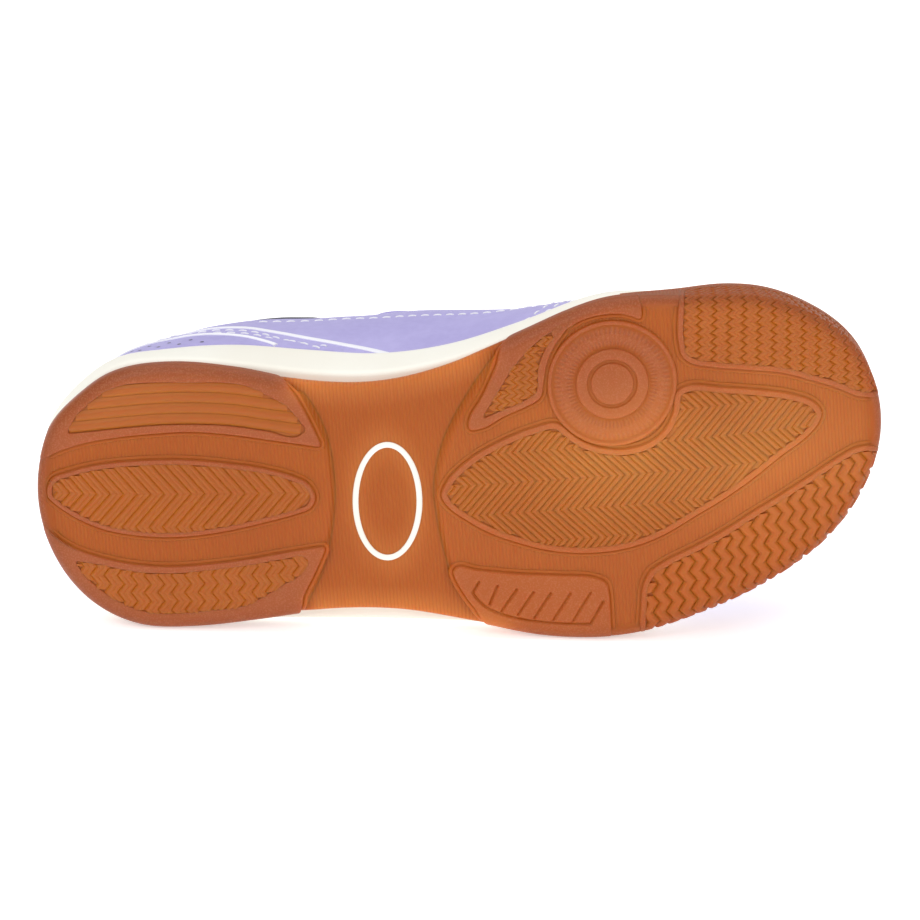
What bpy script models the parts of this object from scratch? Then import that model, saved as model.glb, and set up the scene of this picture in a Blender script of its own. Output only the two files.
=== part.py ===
"""Athletic shoe for the left foot, in a child's size, lying on its outer side.

The shoe is worked out upright and in millimetres: x runs from heel to toe, y to the lateral (outer)
side and z up from the ground. Every point is laid over onto the lateral side when its mesh is made.
Going round the shoe is a turn: 0 at the back of the heel, pi at the toe, the medial side in between
and the lateral side on the way back.
"""
import math
from collections import namedtuple

import bmesh
import bpy
import numpy as np
from mathutils import Matrix, Vector

MM = 0.001
LENGTH = 205.0              # outsole, heel to toe
STEP = 7.5                  # degrees between the sections taken round the shoe, halved at the throat
THROAT = (82.5, 112.5)      # degrees
GAP = 0.3                   # air between pieces that meet along a curve

# Rest on the lateral side: the sole's edge and the collar touch the floor
LEAN = math.radians(6.60)   # sole faced up from upright-on-its-side
PITCH = math.radians(6.48)  # heel to toe line raised at the toe

# Heights through the sole, from the tread
CHANNEL_RISE = 1.0          # floor of the channels between the lugs
WAIST_RISE = 2.6            # hollow under the arch
PLATE_TOP = 6.5
FOOTBED_DROP = 4.0          # footbed below the midsole's top edge
LEDGE = 5.0                 # width of the midsole's rim, which carries the upper
SOFT_EDGE = 0.8             # taken off the midsole's and insole's edges
INSOLE_THICK = 3.0
SINK = 0.6                  # how far joined blocks reach into what carries them

# Toe wrap: the outsole turned up round the front
WRAP_FROM_MEDIAL = 0.745    # shares of the length where it starts
WRAP_FROM_LATERAL = 0.715
WRAP_LOW, WRAP_HIGH = 2.4, 12.5
WRAP_THICK = 2.0
WRAP_PROUD = 0.5
WRAP_LEAN = 1.2             # inward at its top
WRAP_STEPS = 20

# Upper
WALL = 2.2
SEAT = 1.4                  # upper set in from the midsole's top edge
RIDGE = 5.8                 # line of the instep, to the lateral side of the heel to toe line
VAMP_POINT = math.radians(112.5)    # turn where the throat closes
OVERLAY = 1.1               # thickness of the pieces laid on the upper
LINING = 3.8
TUCK = 0.17                 # share of the wall that the tongue reaches down behind
TONGUE_BEHIND, TONGUE_THICK = 2.8, 4.0      # from the upper's outer face
UPPER_CLIMBS = [0, 0.15, 0.3, 0.45, 0.6, 0.73, 0.85, 0.94, 1.0]

# Section every few per cent of the length. centre: middle of the outsole to the lateral side. half: half its
# width. tread: tread off the ground. feather: top edge of the midsole. low and top: how far the midsole's
# lower and top edges stand outside the outsole, on each side.
Section = namedtuple("Section", "share centre half tread feather low_medial low_lateral top_medial top_lateral")
SECTIONS = [
    Section(0.02, 5.6, 17.3, 2.4, 24.0, -1.0, -1.0, -3.6, -3.6),
    Section(0.05, 6.2, 24.8, 1.0, 24.0, -0.4, -1.2, -2.8, -4.0),
    Section(0.10, 6.1, 31.3, 0.1, 23.6, 0.2, -1.2, -2.2, -4.2),
    Section(0.17, 6.4, 33.1, 0.0, 23.0, 0.0, -0.6, -1.6, -3.0),
    Section(0.25, 7.6, 31.5, 0.0, 22.3, 0.4, 1.6, 1.0, -0.4),
    Section(0.33, 9.5, 28.8, 0.0, 21.5, 1.6, 3.8, 3.4, 2.2),
    Section(0.41, 11.0, 28.7, 0.0, 20.4, 1.6, 4.0, 3.2, 2.6),
    Section(0.50, 11.8, 32.6, 0.0, 18.5, 0.4, 1.6, 1.4, 0.6),
    Section(0.58, 11.0, 38.1, 0.0, 16.8, -1.0, -0.8, -1.2, -1.6),
    Section(0.68, 8.5, 42.2, 0.0, 15.3, -2.0, -2.0, -2.9, -2.9),
    Section(0.78, 6.7, 39.6, 0.9, 15.6, -3.1, -3.1, -3.7, -3.7),
    Section(0.87, 4.5, 34.8, 3.6, 17.4, -3.1, -3.1, -4.0, -4.0),
    Section(0.94, 3.8, 26.0, 7.0, 20.0, -3.1, -3.1, -4.3, -4.3),
    Section(0.98, 3.1, 16.0, 9.6, 21.8, -3.1, -3.1, -4.4, -4.4),
]

# The upper by turn, in degrees. edge: where its open edge lies along the length. gap: that edge from the ridge.
# height: that edge off the ground. lean: outward at the midsole. roll: inward at the edge, 90 where the two
# sides meet over the toes. pull_low and pull_high: how long each end of the section keeps its direction.
Wall = namedtuple("Wall", "turn edge gap height lean roll pull_low pull_high")
WALLS = [
    Wall(0, 0.046, 0.0, 68.0, 4, 14, 0.33, 0.33),
    Wall(20, 0.062, 8.2, 67.0, 0, 14, 0.33, 0.33),
    Wall(40, 0.125, 17.0, 64.0, -3, 14, 0.33, 0.33),
    Wall(55, 0.212, 24.2, 60.5, 3, 13, 0.33, 0.33),
    Wall(70, 0.315, 25.8, 58.5, 5, 13, 0.33, 0.33),
    Wall(78, 0.375, 22.5, 66.5, 7, 28, 0.34, 0.36),
    Wall(85, 0.430, 16.5, 73.0, 8, 46, 0.36, 0.40),
    Wall(100, 0.545, 12.0, 61.5, 8, 62, 0.38, 0.40),
    Wall(108, 0.602, 8.5, 54.0, 6, 76, 0.40, 0.40),
    Wall(112.5, 0.635, 0.0, 51.0, 5, 90, 0.42, 0.42),
    Wall(130, 0.720, 0.0, 45.8, 4, 90, 0.44, 0.44),
    Wall(150, 0.800, 0.0, 42.4, 4, 90, 0.44, 0.44),
    Wall(165, 0.842, 0.0, 40.6, 4, 90, 0.42, 0.42),
    Wall(180, 0.856, 0.0, 40.0, 4, 90, 0.42, 0.42),
]

# How far up the upper its toe cap and heel counter reach, by turn in degrees
Reach = namedtuple("Reach", "turn climb")
TOE_REACH = [Reach(112, 0.20), Reach(130, 0.34), Reach(150, 0.44), Reach(180, 0.52)]
HEEL_REACH = [Reach(0, 0.56), Reach(25, 0.52), Reach(50, 0.38), Reach(65, 0.20), Reach(76, 0.07)]
OVERLAY_FROM = 0.025        # climb at their lower edge
EYESTAY_CLIMBS = (0.78, 0.985)
LINING_CLIMBS = (0.5, 1.03)

# Lugs of the tread, in millimetres. medial and lateral: their two sides at a place along the shoe.
# RIM stands for the outsole's own edge.
RIM = None
Lug = namedtuple("Lug", "along medial lateral")
PLATFORMS = {
    "heel_platform": [
        Lug(2.5, RIM, RIM), Lug(6.0, RIM, RIM), Lug(12.0, RIM, RIM), Lug(61.0, RIM, RIM),
        Lug(66.5, -14.0, 27.0), Lug(69.0, -5.0, 20.5), Lug(70.2, 4.0, 14.5)],
    "fore_platform": [
        Lug(96.3, 8.0, 16.0), Lug(97.5, 2.5, 25.0), Lug(100.5, -3.5, 35.5), Lug(105.5, -12.0, RIM),
        Lug(117.0, RIM, RIM), Lug(184.0, RIM, RIM), Lug(194.0, RIM, RIM), Lug(201.0, RIM, RIM)],
}
LUGS = {
    "heel_medial": [
        Lug(7.0, RIM, -4.6), Lug(10.0, RIM, -6.0), Lug(15.0, RIM, -7.5), Lug(33.0, RIM, -11.8),
        Lug(52.0, RIM, -9.6), Lug(60.0, RIM, -7.0), Lug(65.5, -13.0, -5.2), Lug(68.3, -5.6, -4.2)],
    "heel_leaf": [
        Lug(3.2, -1.2, 3.0), Lug(7.5, -2.6, 7.3), Lug(14.5, -3.3, 11.0), Lug(27.0, -3.5, 15.2),
        Lug(40.0, -2.2, 16.2), Lug(52.0, 0.6, 15.2), Lug(61.0, 4.2, 12.9), Lug(66.0, 7.5, 10.5)],
    "heel_lateral": [
        Lug(7.0, 17.8, RIM), Lug(13.0, 20.4, RIM), Lug(33.0, 25.5, RIM), Lug(49.0, 25.1, RIM),
        Lug(60.0, 23.4, RIM), Lug(64.0, 22.6, 29.5), Lug(67.3, 21.9, 22.8)],
    "fore_leaf": [
        Lug(97.8, 10.5, 13.2), Lug(100.0, 6.8, 17.0), Lug(107.0, 2.4, 22.6), Lug(117.0, -1.4, 26.7),
        Lug(126.0, -3.0, 28.3), Lug(133.0, 1.2, 28.6), Lug(140.3, 3.3, 27.9), Lug(147.5, 1.4, 26.2),
        Lug(154.5, -3.6, 24.0), Lug(157.5, -9.8, 23.0), Lug(162.0, -10.6, 21.0), Lug(171.5, -9.5, 16.8),
        Lug(181.0, -6.9, 10.8), Lug(188.0, -3.5, 6.4), Lug(191.3, 0.8, 4.8)],
    "fore_medial": [
        Lug(105.0, -6.6, -5.8), Lug(111.3, -19.4, -8.5), Lug(117.4, RIM, -10.0), Lug(123.2, RIM, -11.8),
        Lug(124.6, RIM, -20.5), Lug(128.0, RIM, -26.0)],
    "fore_lateral": [
        Lug(98.6, 31.0, 32.4), Lug(100.6, 30.2, 35.8), Lug(103.5, 30.8, 40.0), Lug(109.0, 32.2, 44.4),
        Lug(121.6, 35.2, RIM), Lug(133.3, 36.5, RIM), Lug(135.8, 38.2, RIM)],
    "toe_medial": [
        Lug(157.6, RIM, -22.3), Lug(158.8, RIM, -18.8), Lug(161.6, RIM, -16.8), Lug(176.8, RIM, -14.4),
        Lug(186.3, RIM, -11.3), Lug(195.5, RIM, -7.2), Lug(200.0, RIM, -5.6)],
    "toe_lateral": [
        Lug(142.8, 44.0, RIM), Lug(144.9, 36.9, RIM), Lug(149.8, 33.8, RIM), Lug(158.7, 29.9, RIM),
        Lug(173.9, 22.5, RIM), Lug(184.2, 16.0, RIM), Lug(194.4, 9.4, RIM), Lug(199.5, 9.0, RIM)],
}
RUNG = 11.0                 # furthest apart that a lug's cross sections are taken
PLATFORM_INSET = 1.2        # from the outsole's edge
LUG_INSET = 2.3

# Pivot circle under the ball of the foot: rings inside to outside
PIVOT_ALONG, PIVOT_ACROSS = 140.3, -13.7
PIVOT_RINGS = [(0.0, 5.2), (6.3, 8.7), (10.0, 14.0)]
PIVOT_SIDES = 20

# Oval inlay in the waist
OVAL_ALONG, OVAL_ACROSS = 84.0, 12.1
OVAL_HALF_LENGTH, OVAL_HALF_WIDTH = 14.2, 7.7
OVAL_BAND = 1.4
OVAL_TILT = math.radians(4.5)
OVAL_DEPTH, OVAL_PROUD = 1.0, 0.4
OVAL_SIDES = 24

# Lacing
EYELET_TURNS = [math.radians(d) for d in (86.5, 91.5, 97.0, 102.5, 107.5)]
EYELET_CLIMB = 0.90
EYELET_HOLE = 2.0
EYELET_FLANGE = 3.3
EYELET_THICK = 0.8
LACE_WIDE, LACE_THICK = 5.0, 1.2
LACE_DIP = 2.2              # let down between the eyelets

COLOURS = {
    "gum": (0.50, 0.19, 0.06), "foam": (0.83, 0.82, 0.80), "upper": (0.42, 0.38, 0.66),
    "overlay": (0.47, 0.43, 0.70), "lining": (0.04, 0.04, 0.05), "lace": (0.62, 0.58, 0.78),
    "eyelet": (0.35, 0.32, 0.52),
}


def along(rows, column, at):
    """A table's column at a place between its rows, on a smooth curve through them."""
    keys = np.array([row[0] for row in rows], dtype=float)
    values = np.array([getattr(row, column) for row in rows], dtype=float)
    slopes = np.gradient(values, keys)
    at = min(max(at, keys[0]), keys[-1])
    i = min(max(int(np.searchsorted(keys, at)) - 1, 0), len(keys) - 2)
    span = keys[i + 1] - keys[i]
    t = (at - keys[i]) / span
    return (values[i] * (1 + 2 * t) * (1 - t) ** 2 + slopes[i] * span * t * (1 - t) ** 2
            + values[i + 1] * t ** 2 * (3 - 2 * t) - slopes[i + 1] * span * t ** 2 * (1 - t))


def unit(v):
    return v / np.linalg.norm(v)


def ease(t):
    """0 to 1, level at both ends."""
    t = min(max(t, 0.0), 1.0)
    return t * t * (3 - 2 * t)


def stations(first, last):
    """The shoe's own turns between two, both in degrees."""
    found = []
    at = first
    while at < last + 1e-6:
        found.append(math.radians(at))
        here, ahead = (min(a % 360, 360 - a % 360) for a in (at, at + STEP / 2))
        in_throat = min(here, ahead) >= THROAT[0] - 1e-6 and max(here, ahead) <= THROAT[1] + 1e-6
        at += STEP / 2 if in_throat else STEP
    return found


TURNS = stations(0, 359)


# Outline of the sole

Fullness = namedtuple("Fullness", "turn width")
FULLNESS = [Fullness(math.acos(1 - 2 * row.share), row.half / math.sin(math.acos(1 - 2 * row.share)))
            for row in SECTIONS]


def share_at(turn):
    return (1 - math.cos(turn)) / 2


def folded(turn):
    """The medial turn opposite a lateral one."""
    turn = turn % (2 * math.pi)
    return min(turn, 2 * math.pi - turn)


def edge_of_sole(turn):
    share = share_at(turn)
    half = along(FULLNESS, "width", folded(turn)) * math.sin(turn)
    return np.array([LENGTH * share, along(SECTIONS, "centre", share) - half])


def plan(turn, out=0.0):
    """A point in plan, that far outside the edge of the outsole."""
    step = 0.01
    run = unit(edge_of_sole(turn + step) - edge_of_sole(turn - step))
    return edge_of_sole(turn) + out * np.array([run[1], -run[0]])


def spine(turn):
    """The point in the middle of the sole that a turn's ribs run out from."""
    x = LENGTH / 2 + (LENGTH * share_at(turn) - LENGTH / 2) * 0.7
    return np.array([x, along(SECTIONS, "centre", x / LENGTH)])


def sided(turn, name):
    side = "medial" if math.sin(turn) > 0 else "lateral"
    return along(SECTIONS, f"{name}_{side}", share_at(turn))


def tread(x):
    return along(SECTIONS, "tread", x / LENGTH)


def feather(x):
    return along(SECTIONS, "feather", x / LENGTH)


def rim_at(x, side, inset):
    """The outsole's edge across the shoe at x, on the medial (-1) or lateral (1) side."""
    share = x / LENGTH
    turn = math.acos(1 - 2 * share)
    return along(SECTIONS, "centre", share) + side * (along(FULLNESS, "width", turn) * math.sin(turn) - inset)


# Making meshes

def laid(points):
    """Upright millimetres to metres, lying on the lateral side with the sole to -Y and the toe to +X."""
    on_side = Matrix(((1, 0, 0), (0, 0, 1), (0, -1, 0)))
    turn = Matrix.Rotation(-LEAN, 3, "X") @ Matrix.Rotation(-PITCH, 3, "Y") @ on_side
    return [turn @ Vector(p) * MM for p in points]


def solid(name, points, faces, slot):
    """One closed mesh object, faces outward."""
    mesh = bpy.data.meshes.new(name)
    mesh.from_pydata(laid(points), [], faces)
    work = bmesh.new()
    work.from_mesh(mesh)
    bmesh.ops.remove_doubles(work, verts=work.verts, dist=2e-6)
    bmesh.ops.dissolve_degenerate(work, edges=work.edges, dist=1e-7)
    bmesh.ops.triangulate(work, faces=work.faces)
    bmesh.ops.recalc_face_normals(work, faces=work.faces)
    work.to_mesh(mesh)
    work.free()
    obj = bpy.data.objects.new(name, mesh)
    bpy.context.scene.collection.objects.link(obj)
    mesh.materials.append(finish(slot))
    return obj


def finish(slot):
    if slot in bpy.data.materials:
        return bpy.data.materials[slot]
    material = bpy.data.materials.new(slot)
    material.use_nodes = True
    shader = material.node_tree.nodes["Principled BSDF"]
    shader.inputs["Base Color"].default_value = (*COLOURS[slot], 1)
    shader.inputs["Roughness"].default_value = 0.6
    return material


def skin(rows, columns, closed=True):
    """Faces between neighbouring rows of a grid of points, each row that many columns long."""
    last = columns if closed else columns - 1
    return [(r * columns + c, r * columns + (c + 1) % columns, (r + 1) * columns + (c + 1) % columns,
             (r + 1) * columns + c) for r in range(rows - 1) for c in range(last)]


def slab(name, front, back, slot):
    """A sheet with thickness: two matching grids of points, and the band round their border."""
    rows, columns = len(front), len(front[0])
    points = [p for row in front for p in row] + [p for row in back for p in row]
    half = rows * columns
    faces = skin(rows, columns, closed=False)
    faces += [tuple(i + half for i in reversed(face)) for face in faces]
    border = ([c for c in range(columns)] + [r * columns + columns - 1 for r in range(1, rows)]
              + [(rows - 1) * columns + c for c in range(columns - 2, -1, -1)]
              + [r * columns for r in range(rows - 2, 0, -1)])
    faces += [(a, a + half, b + half, b) for a, b in zip(border, border[1:] + border[:1])]
    return solid(name, points, faces, slot)


def combine(obj, other, operation):
    """Joins a scratch piece to an object, or cuts it out of it."""
    other.hide_render = True
    other.display_type = "WIRE"
    change = obj.modifiers.new(other.name, "BOOLEAN")
    change.operation = operation
    change.solver = "EXACT"
    change.object = other


# Sole

def ring(reach, out, height):
    """A loop of points, that share of the way from the spine to out past the sole's edge."""
    loop = []
    for turn in TURNS:
        middle = spine(turn)
        x, y = middle + reach * (plan(turn, out(turn)) - middle)
        loop.append((x, y, height(turn, x)))
    return loop


def sole_layer(name, rings, slot):
    points = [p for loop in rings for p in loop]
    return solid(name, points, skin(len(rings), len(TURNS)), slot)


def outsole_plate():
    def at(reach, out, rise):
        return ring(reach, lambda turn: out, lambda turn, x: tread(x) + rise)
    face, top = -1.8, -GAP
    return sole_layer("outsole", [
        at(0, face, WAIST_RISE), at(0.6, face, WAIST_RISE), at(1, face, WAIST_RISE),
        at(1, -0.4, WAIST_RISE + 0.5), at(1, 0, WAIST_RISE + 1.5), at(1, top, PLATE_TOP),
        at(0.6, top, PLATE_TOP), at(0, top, PLATE_TOP)], "gum")


def midsole():
    def low(turn):
        return sided(turn, "low")

    def top(turn):
        return sided(turn, "top")

    def under(turn, x):
        return tread(x) + PLATE_TOP + GAP

    def footbed(turn, x):
        return feather(x) - FOOTBED_DROP

    def wall(share, bulge):
        return ring(1, lambda turn: low(turn) + share * (top(turn) - low(turn)) + bulge,
                    lambda turn, x: under(turn, x) + share * (feather(x) - under(turn, x)))
    return sole_layer("midsole", [
        ring(0, low, under), ring(0.6, low, under),
        ring(1, lambda turn: low(turn) - 1.0, under),
        wall(0.10, 0.0), wall(0.5, 0.4), wall(0.9, 0.0),
        ring(1, lambda turn: top(turn) - SOFT_EDGE, lambda turn, x: feather(x)),
        ring(1, lambda turn: top(turn) - LEDGE, lambda turn, x: feather(x)),
        ring(1, lambda turn: top(turn) - LEDGE - SOFT_EDGE, footbed),
        ring(0, lambda turn: top(turn) - LEDGE - SOFT_EDGE, footbed)], "foam")


def insole():
    def at(reach, out, rise):
        return ring(reach, lambda turn: sided(turn, "top") - LEDGE - SOFT_EDGE + out,
                    lambda turn, x: feather(x) - FOOTBED_DROP + rise)
    top = GAP + INSOLE_THICK
    return sole_layer("insole", [
        at(0, -GAP, GAP), at(1, -GAP, GAP), at(1, -GAP, top - SOFT_EDGE), at(1, -GAP - SOFT_EDGE, top),
        at(0, -GAP - SOFT_EDGE, top)], "lining")


def lug(name, rows, inset, low, high):
    """A raised block of the tread: cross sections at each row and at rungs in between."""
    places = []
    for a, b in zip(rows, rows[1:]):
        count = math.ceil((b.along - a.along) / RUNG)
        for i in range(count):
            places.append((a, b, i / count))
    places.append((rows[-2], rows[-1], 1.0))

    def side_at(a, b, t, x, name, side):
        rim = rim_at(x, side, inset)
        from_a = rim if getattr(a, name) is RIM else getattr(a, name)
        from_b = rim if getattr(b, name) is RIM else getattr(b, name)
        return from_a + (from_b - from_a) * t
    loops = []
    for a, b, t in places:
        x = a.along + (b.along - a.along) * t
        medial, lateral = side_at(a, b, t, x, "medial", -1), side_at(a, b, t, x, "lateral", 1)
        loops.append([(x, medial, tread(x) + low), (x, lateral, tread(x) + low),
                      (x, lateral, tread(x) + high), (x, medial, tread(x) + high)])
    points = [p for loop in loops for p in loop]
    end = len(points) - 4
    faces = skin(len(loops), 4) + [(0, 1, 2, 3), (end + 3, end + 2, end + 1, end)]
    return solid(name, points, faces, "gum")


def turned(name, inner, outer, low, high, sides, slot, place):
    """A ring, or a disc where inner is 0. place gives the plan point of an angle and a radius."""
    angles = [2 * math.pi * i / sides for i in range(sides)]
    loops = []
    for radius, z in ((inner, low), (outer, low), (outer, high), (inner, high)):
        loops.append([(*place(angle, radius), z) for angle in angles])
    points = [p for loop in loops for p in loop]
    if inner:
        loops.append(loops[0])
        points += loops[0]
    return solid(name, points, skin(len(loops), sides), slot)


def pivot_place(angle, radius):
    return PIVOT_ALONG + radius * math.cos(angle), PIVOT_ACROSS + radius * math.sin(angle)


def oval_place(angle, out):
    x, y = (OVAL_HALF_WIDTH + out) * math.cos(angle), (OVAL_HALF_LENGTH + out) * math.sin(angle)
    return (OVAL_ALONG + x * math.cos(OVAL_TILT) - y * math.sin(OVAL_TILT),
            OVAL_ACROSS + x * math.sin(OVAL_TILT) + y * math.cos(OVAL_TILT))


def toe_wrap():
    start, end = math.acos(1 - 2 * WRAP_FROM_MEDIAL), 2 * math.pi - math.acos(1 - 2 * WRAP_FROM_LATERAL)
    front, back = [], []
    first_high = PLATE_TOP - 1.0
    for i in range(WRAP_STEPS + 1):
        turn = start + (end - start) * i / WRAP_STEPS
        base = tread(plan(turn)[0])
        high = first_high + (WRAP_HIGH - first_high) * ease(min(i, WRAP_STEPS - i) / 3)
        outer, inner = [], []
        for climb in (0, 0.5, 1):
            z = base + WRAP_LOW + (high - WRAP_LOW) * climb
            out = WRAP_PROUD - (WRAP_LEAN / 2 if climb == 0 else WRAP_LEAN * climb ** 2)
            outer.append((*plan(turn, out), z))
            inner.append((*plan(turn, out - WRAP_THICK), z))
        front.append(outer)
        back.append(inner)
    return slab("toe_wrap", front, back, "gum")


def outsole():
    plate = outsole_plate()
    for name, rows in PLATFORMS.items():
        combine(plate, lug(name, rows, PLATFORM_INSET, CHANNEL_RISE, WAIST_RISE + SINK), "UNION")
    for name, rows in LUGS.items():
        combine(plate, lug(name, rows, LUG_INSET, 0.0, CHANNEL_RISE + SINK), "UNION")
    for i, (inner, outer) in enumerate(PIVOT_RINGS):
        piece = turned(f"pivot_{i}", inner, outer, 0.0, CHANNEL_RISE + SINK, PIVOT_SIDES, "gum", pivot_place)
        combine(plate, piece, "UNION")
    combine(plate, toe_wrap(), "UNION")
    half, floor = OVAL_BAND / 2, WAIST_RISE + OVAL_DEPTH
    groove = turned("oval_groove", -half - GAP, half + GAP, WAIST_RISE - 1, floor, OVAL_SIDES, "gum", oval_place)
    combine(plate, groove, "DIFFERENCE")
    turned("waist_oval", -half, half, WAIST_RISE - OVAL_PROUD, floor - GAP, OVAL_SIDES, "foam", oval_place)
    return plate


# Upper

def ridge_fall(degrees):
    """How steeply the upper's edge drops towards the toe."""
    ahead, behind = min(degrees + 6, 174), min(degrees - 6, 162)
    return ((along(WALLS, "height", ahead) - along(WALLS, "height", behind))
            / (LENGTH * (along(WALLS, "edge", ahead) - along(WALLS, "edge", behind))))


def wall_row(turn):
    """The upper's table at a turn, with the ends of its section and their directions."""
    degrees = math.degrees(folded(turn))
    side = -1 if math.sin(turn) > 0 else 1
    foot = np.array([*plan(turn, sided(turn, "top") - SEAT), 0.0])
    foot[2] = feather(foot[0]) + GAP
    gap = 0.0 if folded(turn) >= VAMP_POINT - 1e-9 else max(along(WALLS, "gap", degrees), 0.0)
    edge = np.array([LENGTH * along(WALLS, "edge", degrees), RIDGE + side * gap,
                     along(WALLS, "height", degrees)])
    fall = ridge_fall(degrees)
    outward = unit(plan(turn, 1.0) - plan(turn))
    lean, roll = (math.radians(along(WALLS, name, degrees)) for name in ("lean", "roll"))
    rise = np.array([*(math.sin(lean) * outward), math.cos(lean)])
    closing = ease((degrees - 80) / 30)
    inward = unit((1 - closing) * -outward + closing * unit((edge - foot)[:2]))
    level = unit(np.array([*inward, closing * fall * inward[0]]))
    arrive = unit(math.cos(roll) * np.array([0, 0, 1.0]) + math.sin(roll) * level)
    chord = np.linalg.norm(edge - foot)
    return (foot, edge, rise * along(WALLS, "pull_low", degrees) * chord,
            arrive * along(WALLS, "pull_high", degrees) * chord)


def wall_point(turn, climb):
    """The outer face of the upper: climb is 0 at the midsole and 1 at the collar, throat or ridge."""
    foot, edge, rise, arrive = wall_row(turn)
    if climb > 1:
        return edge + unit(arrive) * (climb - 1) * np.linalg.norm(edge - foot)
    t = climb
    return (foot * (1 - t) ** 3 + (foot + rise) * 3 * t * (1 - t) ** 2
            + (edge - arrive) * 3 * t * t * (1 - t) + edge * t ** 3)


def wall_normal(turn, climb):
    """Square to the outer face. Where the two sides meet over the toes it is square to the ridge."""
    if climb >= 1 and folded(turn) >= VAMP_POINT - 1e-9:
        return unit(np.array([-ridge_fall(math.degrees(folded(turn))), 0, 1.0]))
    step = 0.01
    up = wall_point(turn, min(climb + step, 1.0)) - wall_point(turn, max(min(climb, 1.0) - step, 0.0))
    onward = wall_point(turn + step, climb) - wall_point(turn - step, climb)
    return unit(np.cross(onward, up))


def off_wall(turn, climb, out):
    """A point that far out from the upper's outer face."""
    return wall_point(turn, climb) + out * wall_normal(turn, climb)


def upper():
    """One wall all round: outer face, rim, inner face and foot. The rim stops where the two sides meet."""
    rows = [[off_wall(turn, climb, 0.0) for turn in TURNS] for climb in UPPER_CLIMBS]
    rows += [[off_wall(turn, climb, -WALL) for turn in TURNS] for climb in reversed(UPPER_CLIMBS)]
    rows.append(rows[0])
    points = [p for row in rows for p in row]
    rim = len(UPPER_CLIMBS) - 1
    met = [folded(turn) >= VAMP_POINT - 1e-9 for turn in TURNS]
    faces = [face for i, face in enumerate(skin(len(rows), len(TURNS)))
             if not (i // len(TURNS) == rim and met[i % len(TURNS)] and met[(i + 1) % len(TURNS)])]
    return solid("upper", points, faces, "upper")


def laid_on(name, turns, low, high, inner, outer, rows, slot):
    """A piece that follows the upper between two climbs, given by turn, and two distances from its face."""
    front, back = [], []
    for turn in turns:
        climbs = [low(turn) + (high(turn) - low(turn)) * i / (rows - 1) for i in range(rows)]
        front.append([off_wall(turn, climb, outer) for climb in climbs])
        back.append([off_wall(turn, climb, inner) for climb in climbs])
    return slab(name, front, back, slot)


def between(first, last, count):
    """Turns from one angle in degrees to another."""
    return [math.radians(first + (last - first) * i / (count - 1)) for i in range(count)]


def level(climb):
    return lambda turn: climb


def reach_of(rows):
    return lambda turn: along(rows, "climb", math.degrees(folded(turn)))


def overlays():
    """Toe cap, heel counter and the two eyestays, which are returned by side."""
    outer = GAP + OVERLAY
    low = level(OVERLAY_FROM)
    laid_on("toe_cap", stations(120, 240), low, reach_of(TOE_REACH), 1.5 * GAP, outer, 4, "overlay")
    laid_on("heel_counter", stations(-75, 75), low, reach_of(HEEL_REACH), GAP, outer, 4, "overlay")
    sides = {"medial": stations(82.5, 108.75), "lateral": stations(251.25, 277.5)}
    foot, top = EYESTAY_CLIMBS
    return {side: laid_on(f"eyestay_{side}", turns, level(foot), level(top), GAP, outer, 4, "overlay")
            for side, turns in sides.items()}


def collar_lining():
    foot, top = LINING_CLIMBS
    return laid_on("collar_lining", stations(-67.5, 67.5), level(foot), level(top),
                   -WALL - GAP - LINING, -WALL - GAP, 5, "lining")


# Tongue and lacing

def throat_point(turn, across, out):
    """A point on the skin carried across the throat: across is -1 to 1, and its middle half bridges the gap."""
    side = turn if across < 0 else -turn
    if abs(across) > 0.5:
        return off_wall(side, 1 - (abs(across) - 0.5) * 2 * TUCK, out)
    ends = []
    for way in (turn, -turn):
        foot, edge, rise, arrive = wall_row(way)
        ends.append((edge + out * wall_normal(way, 1.0), unit(arrive)))
    (a, go), (b, come) = ends
    pull = 0.36 * np.linalg.norm(b - a)
    t = across + 0.5
    return (a * (1 - t) ** 3 + (a + go * pull) * 3 * t * (1 - t) ** 2
            + (b + come * pull) * 3 * t * t * (1 - t) + b * t ** 3)


def tongue():
    across = [-1, -0.8, -0.6, -0.45, -0.25, 0, 0.25, 0.45, 0.6, 0.8, 1]
    turns = between(86, 109, 7)
    up_back = unit(throat_point(turns[0], 0, 0) - throat_point(turns[2], 0, 0))
    down_front = unit(throat_point(turns[-1], 0, 0) - throat_point(turns[-3], 0, 0))
    front, back = [], []

    def row(turn, shift, narrow):
        rows = []
        for out in (-TONGUE_BEHIND, -TONGUE_BEHIND - TONGUE_THICK):
            middle = throat_point(turn, 0, out)
            rows.append([middle + (throat_point(turn, q, out) - middle) * np.array([1, narrow, 1]) + shift
                         for q in across])
        front.append(rows[0])
        back.append(rows[1])
    for ahead, narrow in ((16, 0.66), (8, 0.76)):
        row(turns[0], up_back * ahead, narrow)
    for turn in turns:
        row(turn, np.zeros(3), 0.93)
    for ahead, narrow in ((5, 0.95), (10, 0.9)):
        row(turns[-1], down_front * ahead - np.array([0, 0, 1.0]), narrow)
    return slab("tongue", front, back, "upper")


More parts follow.
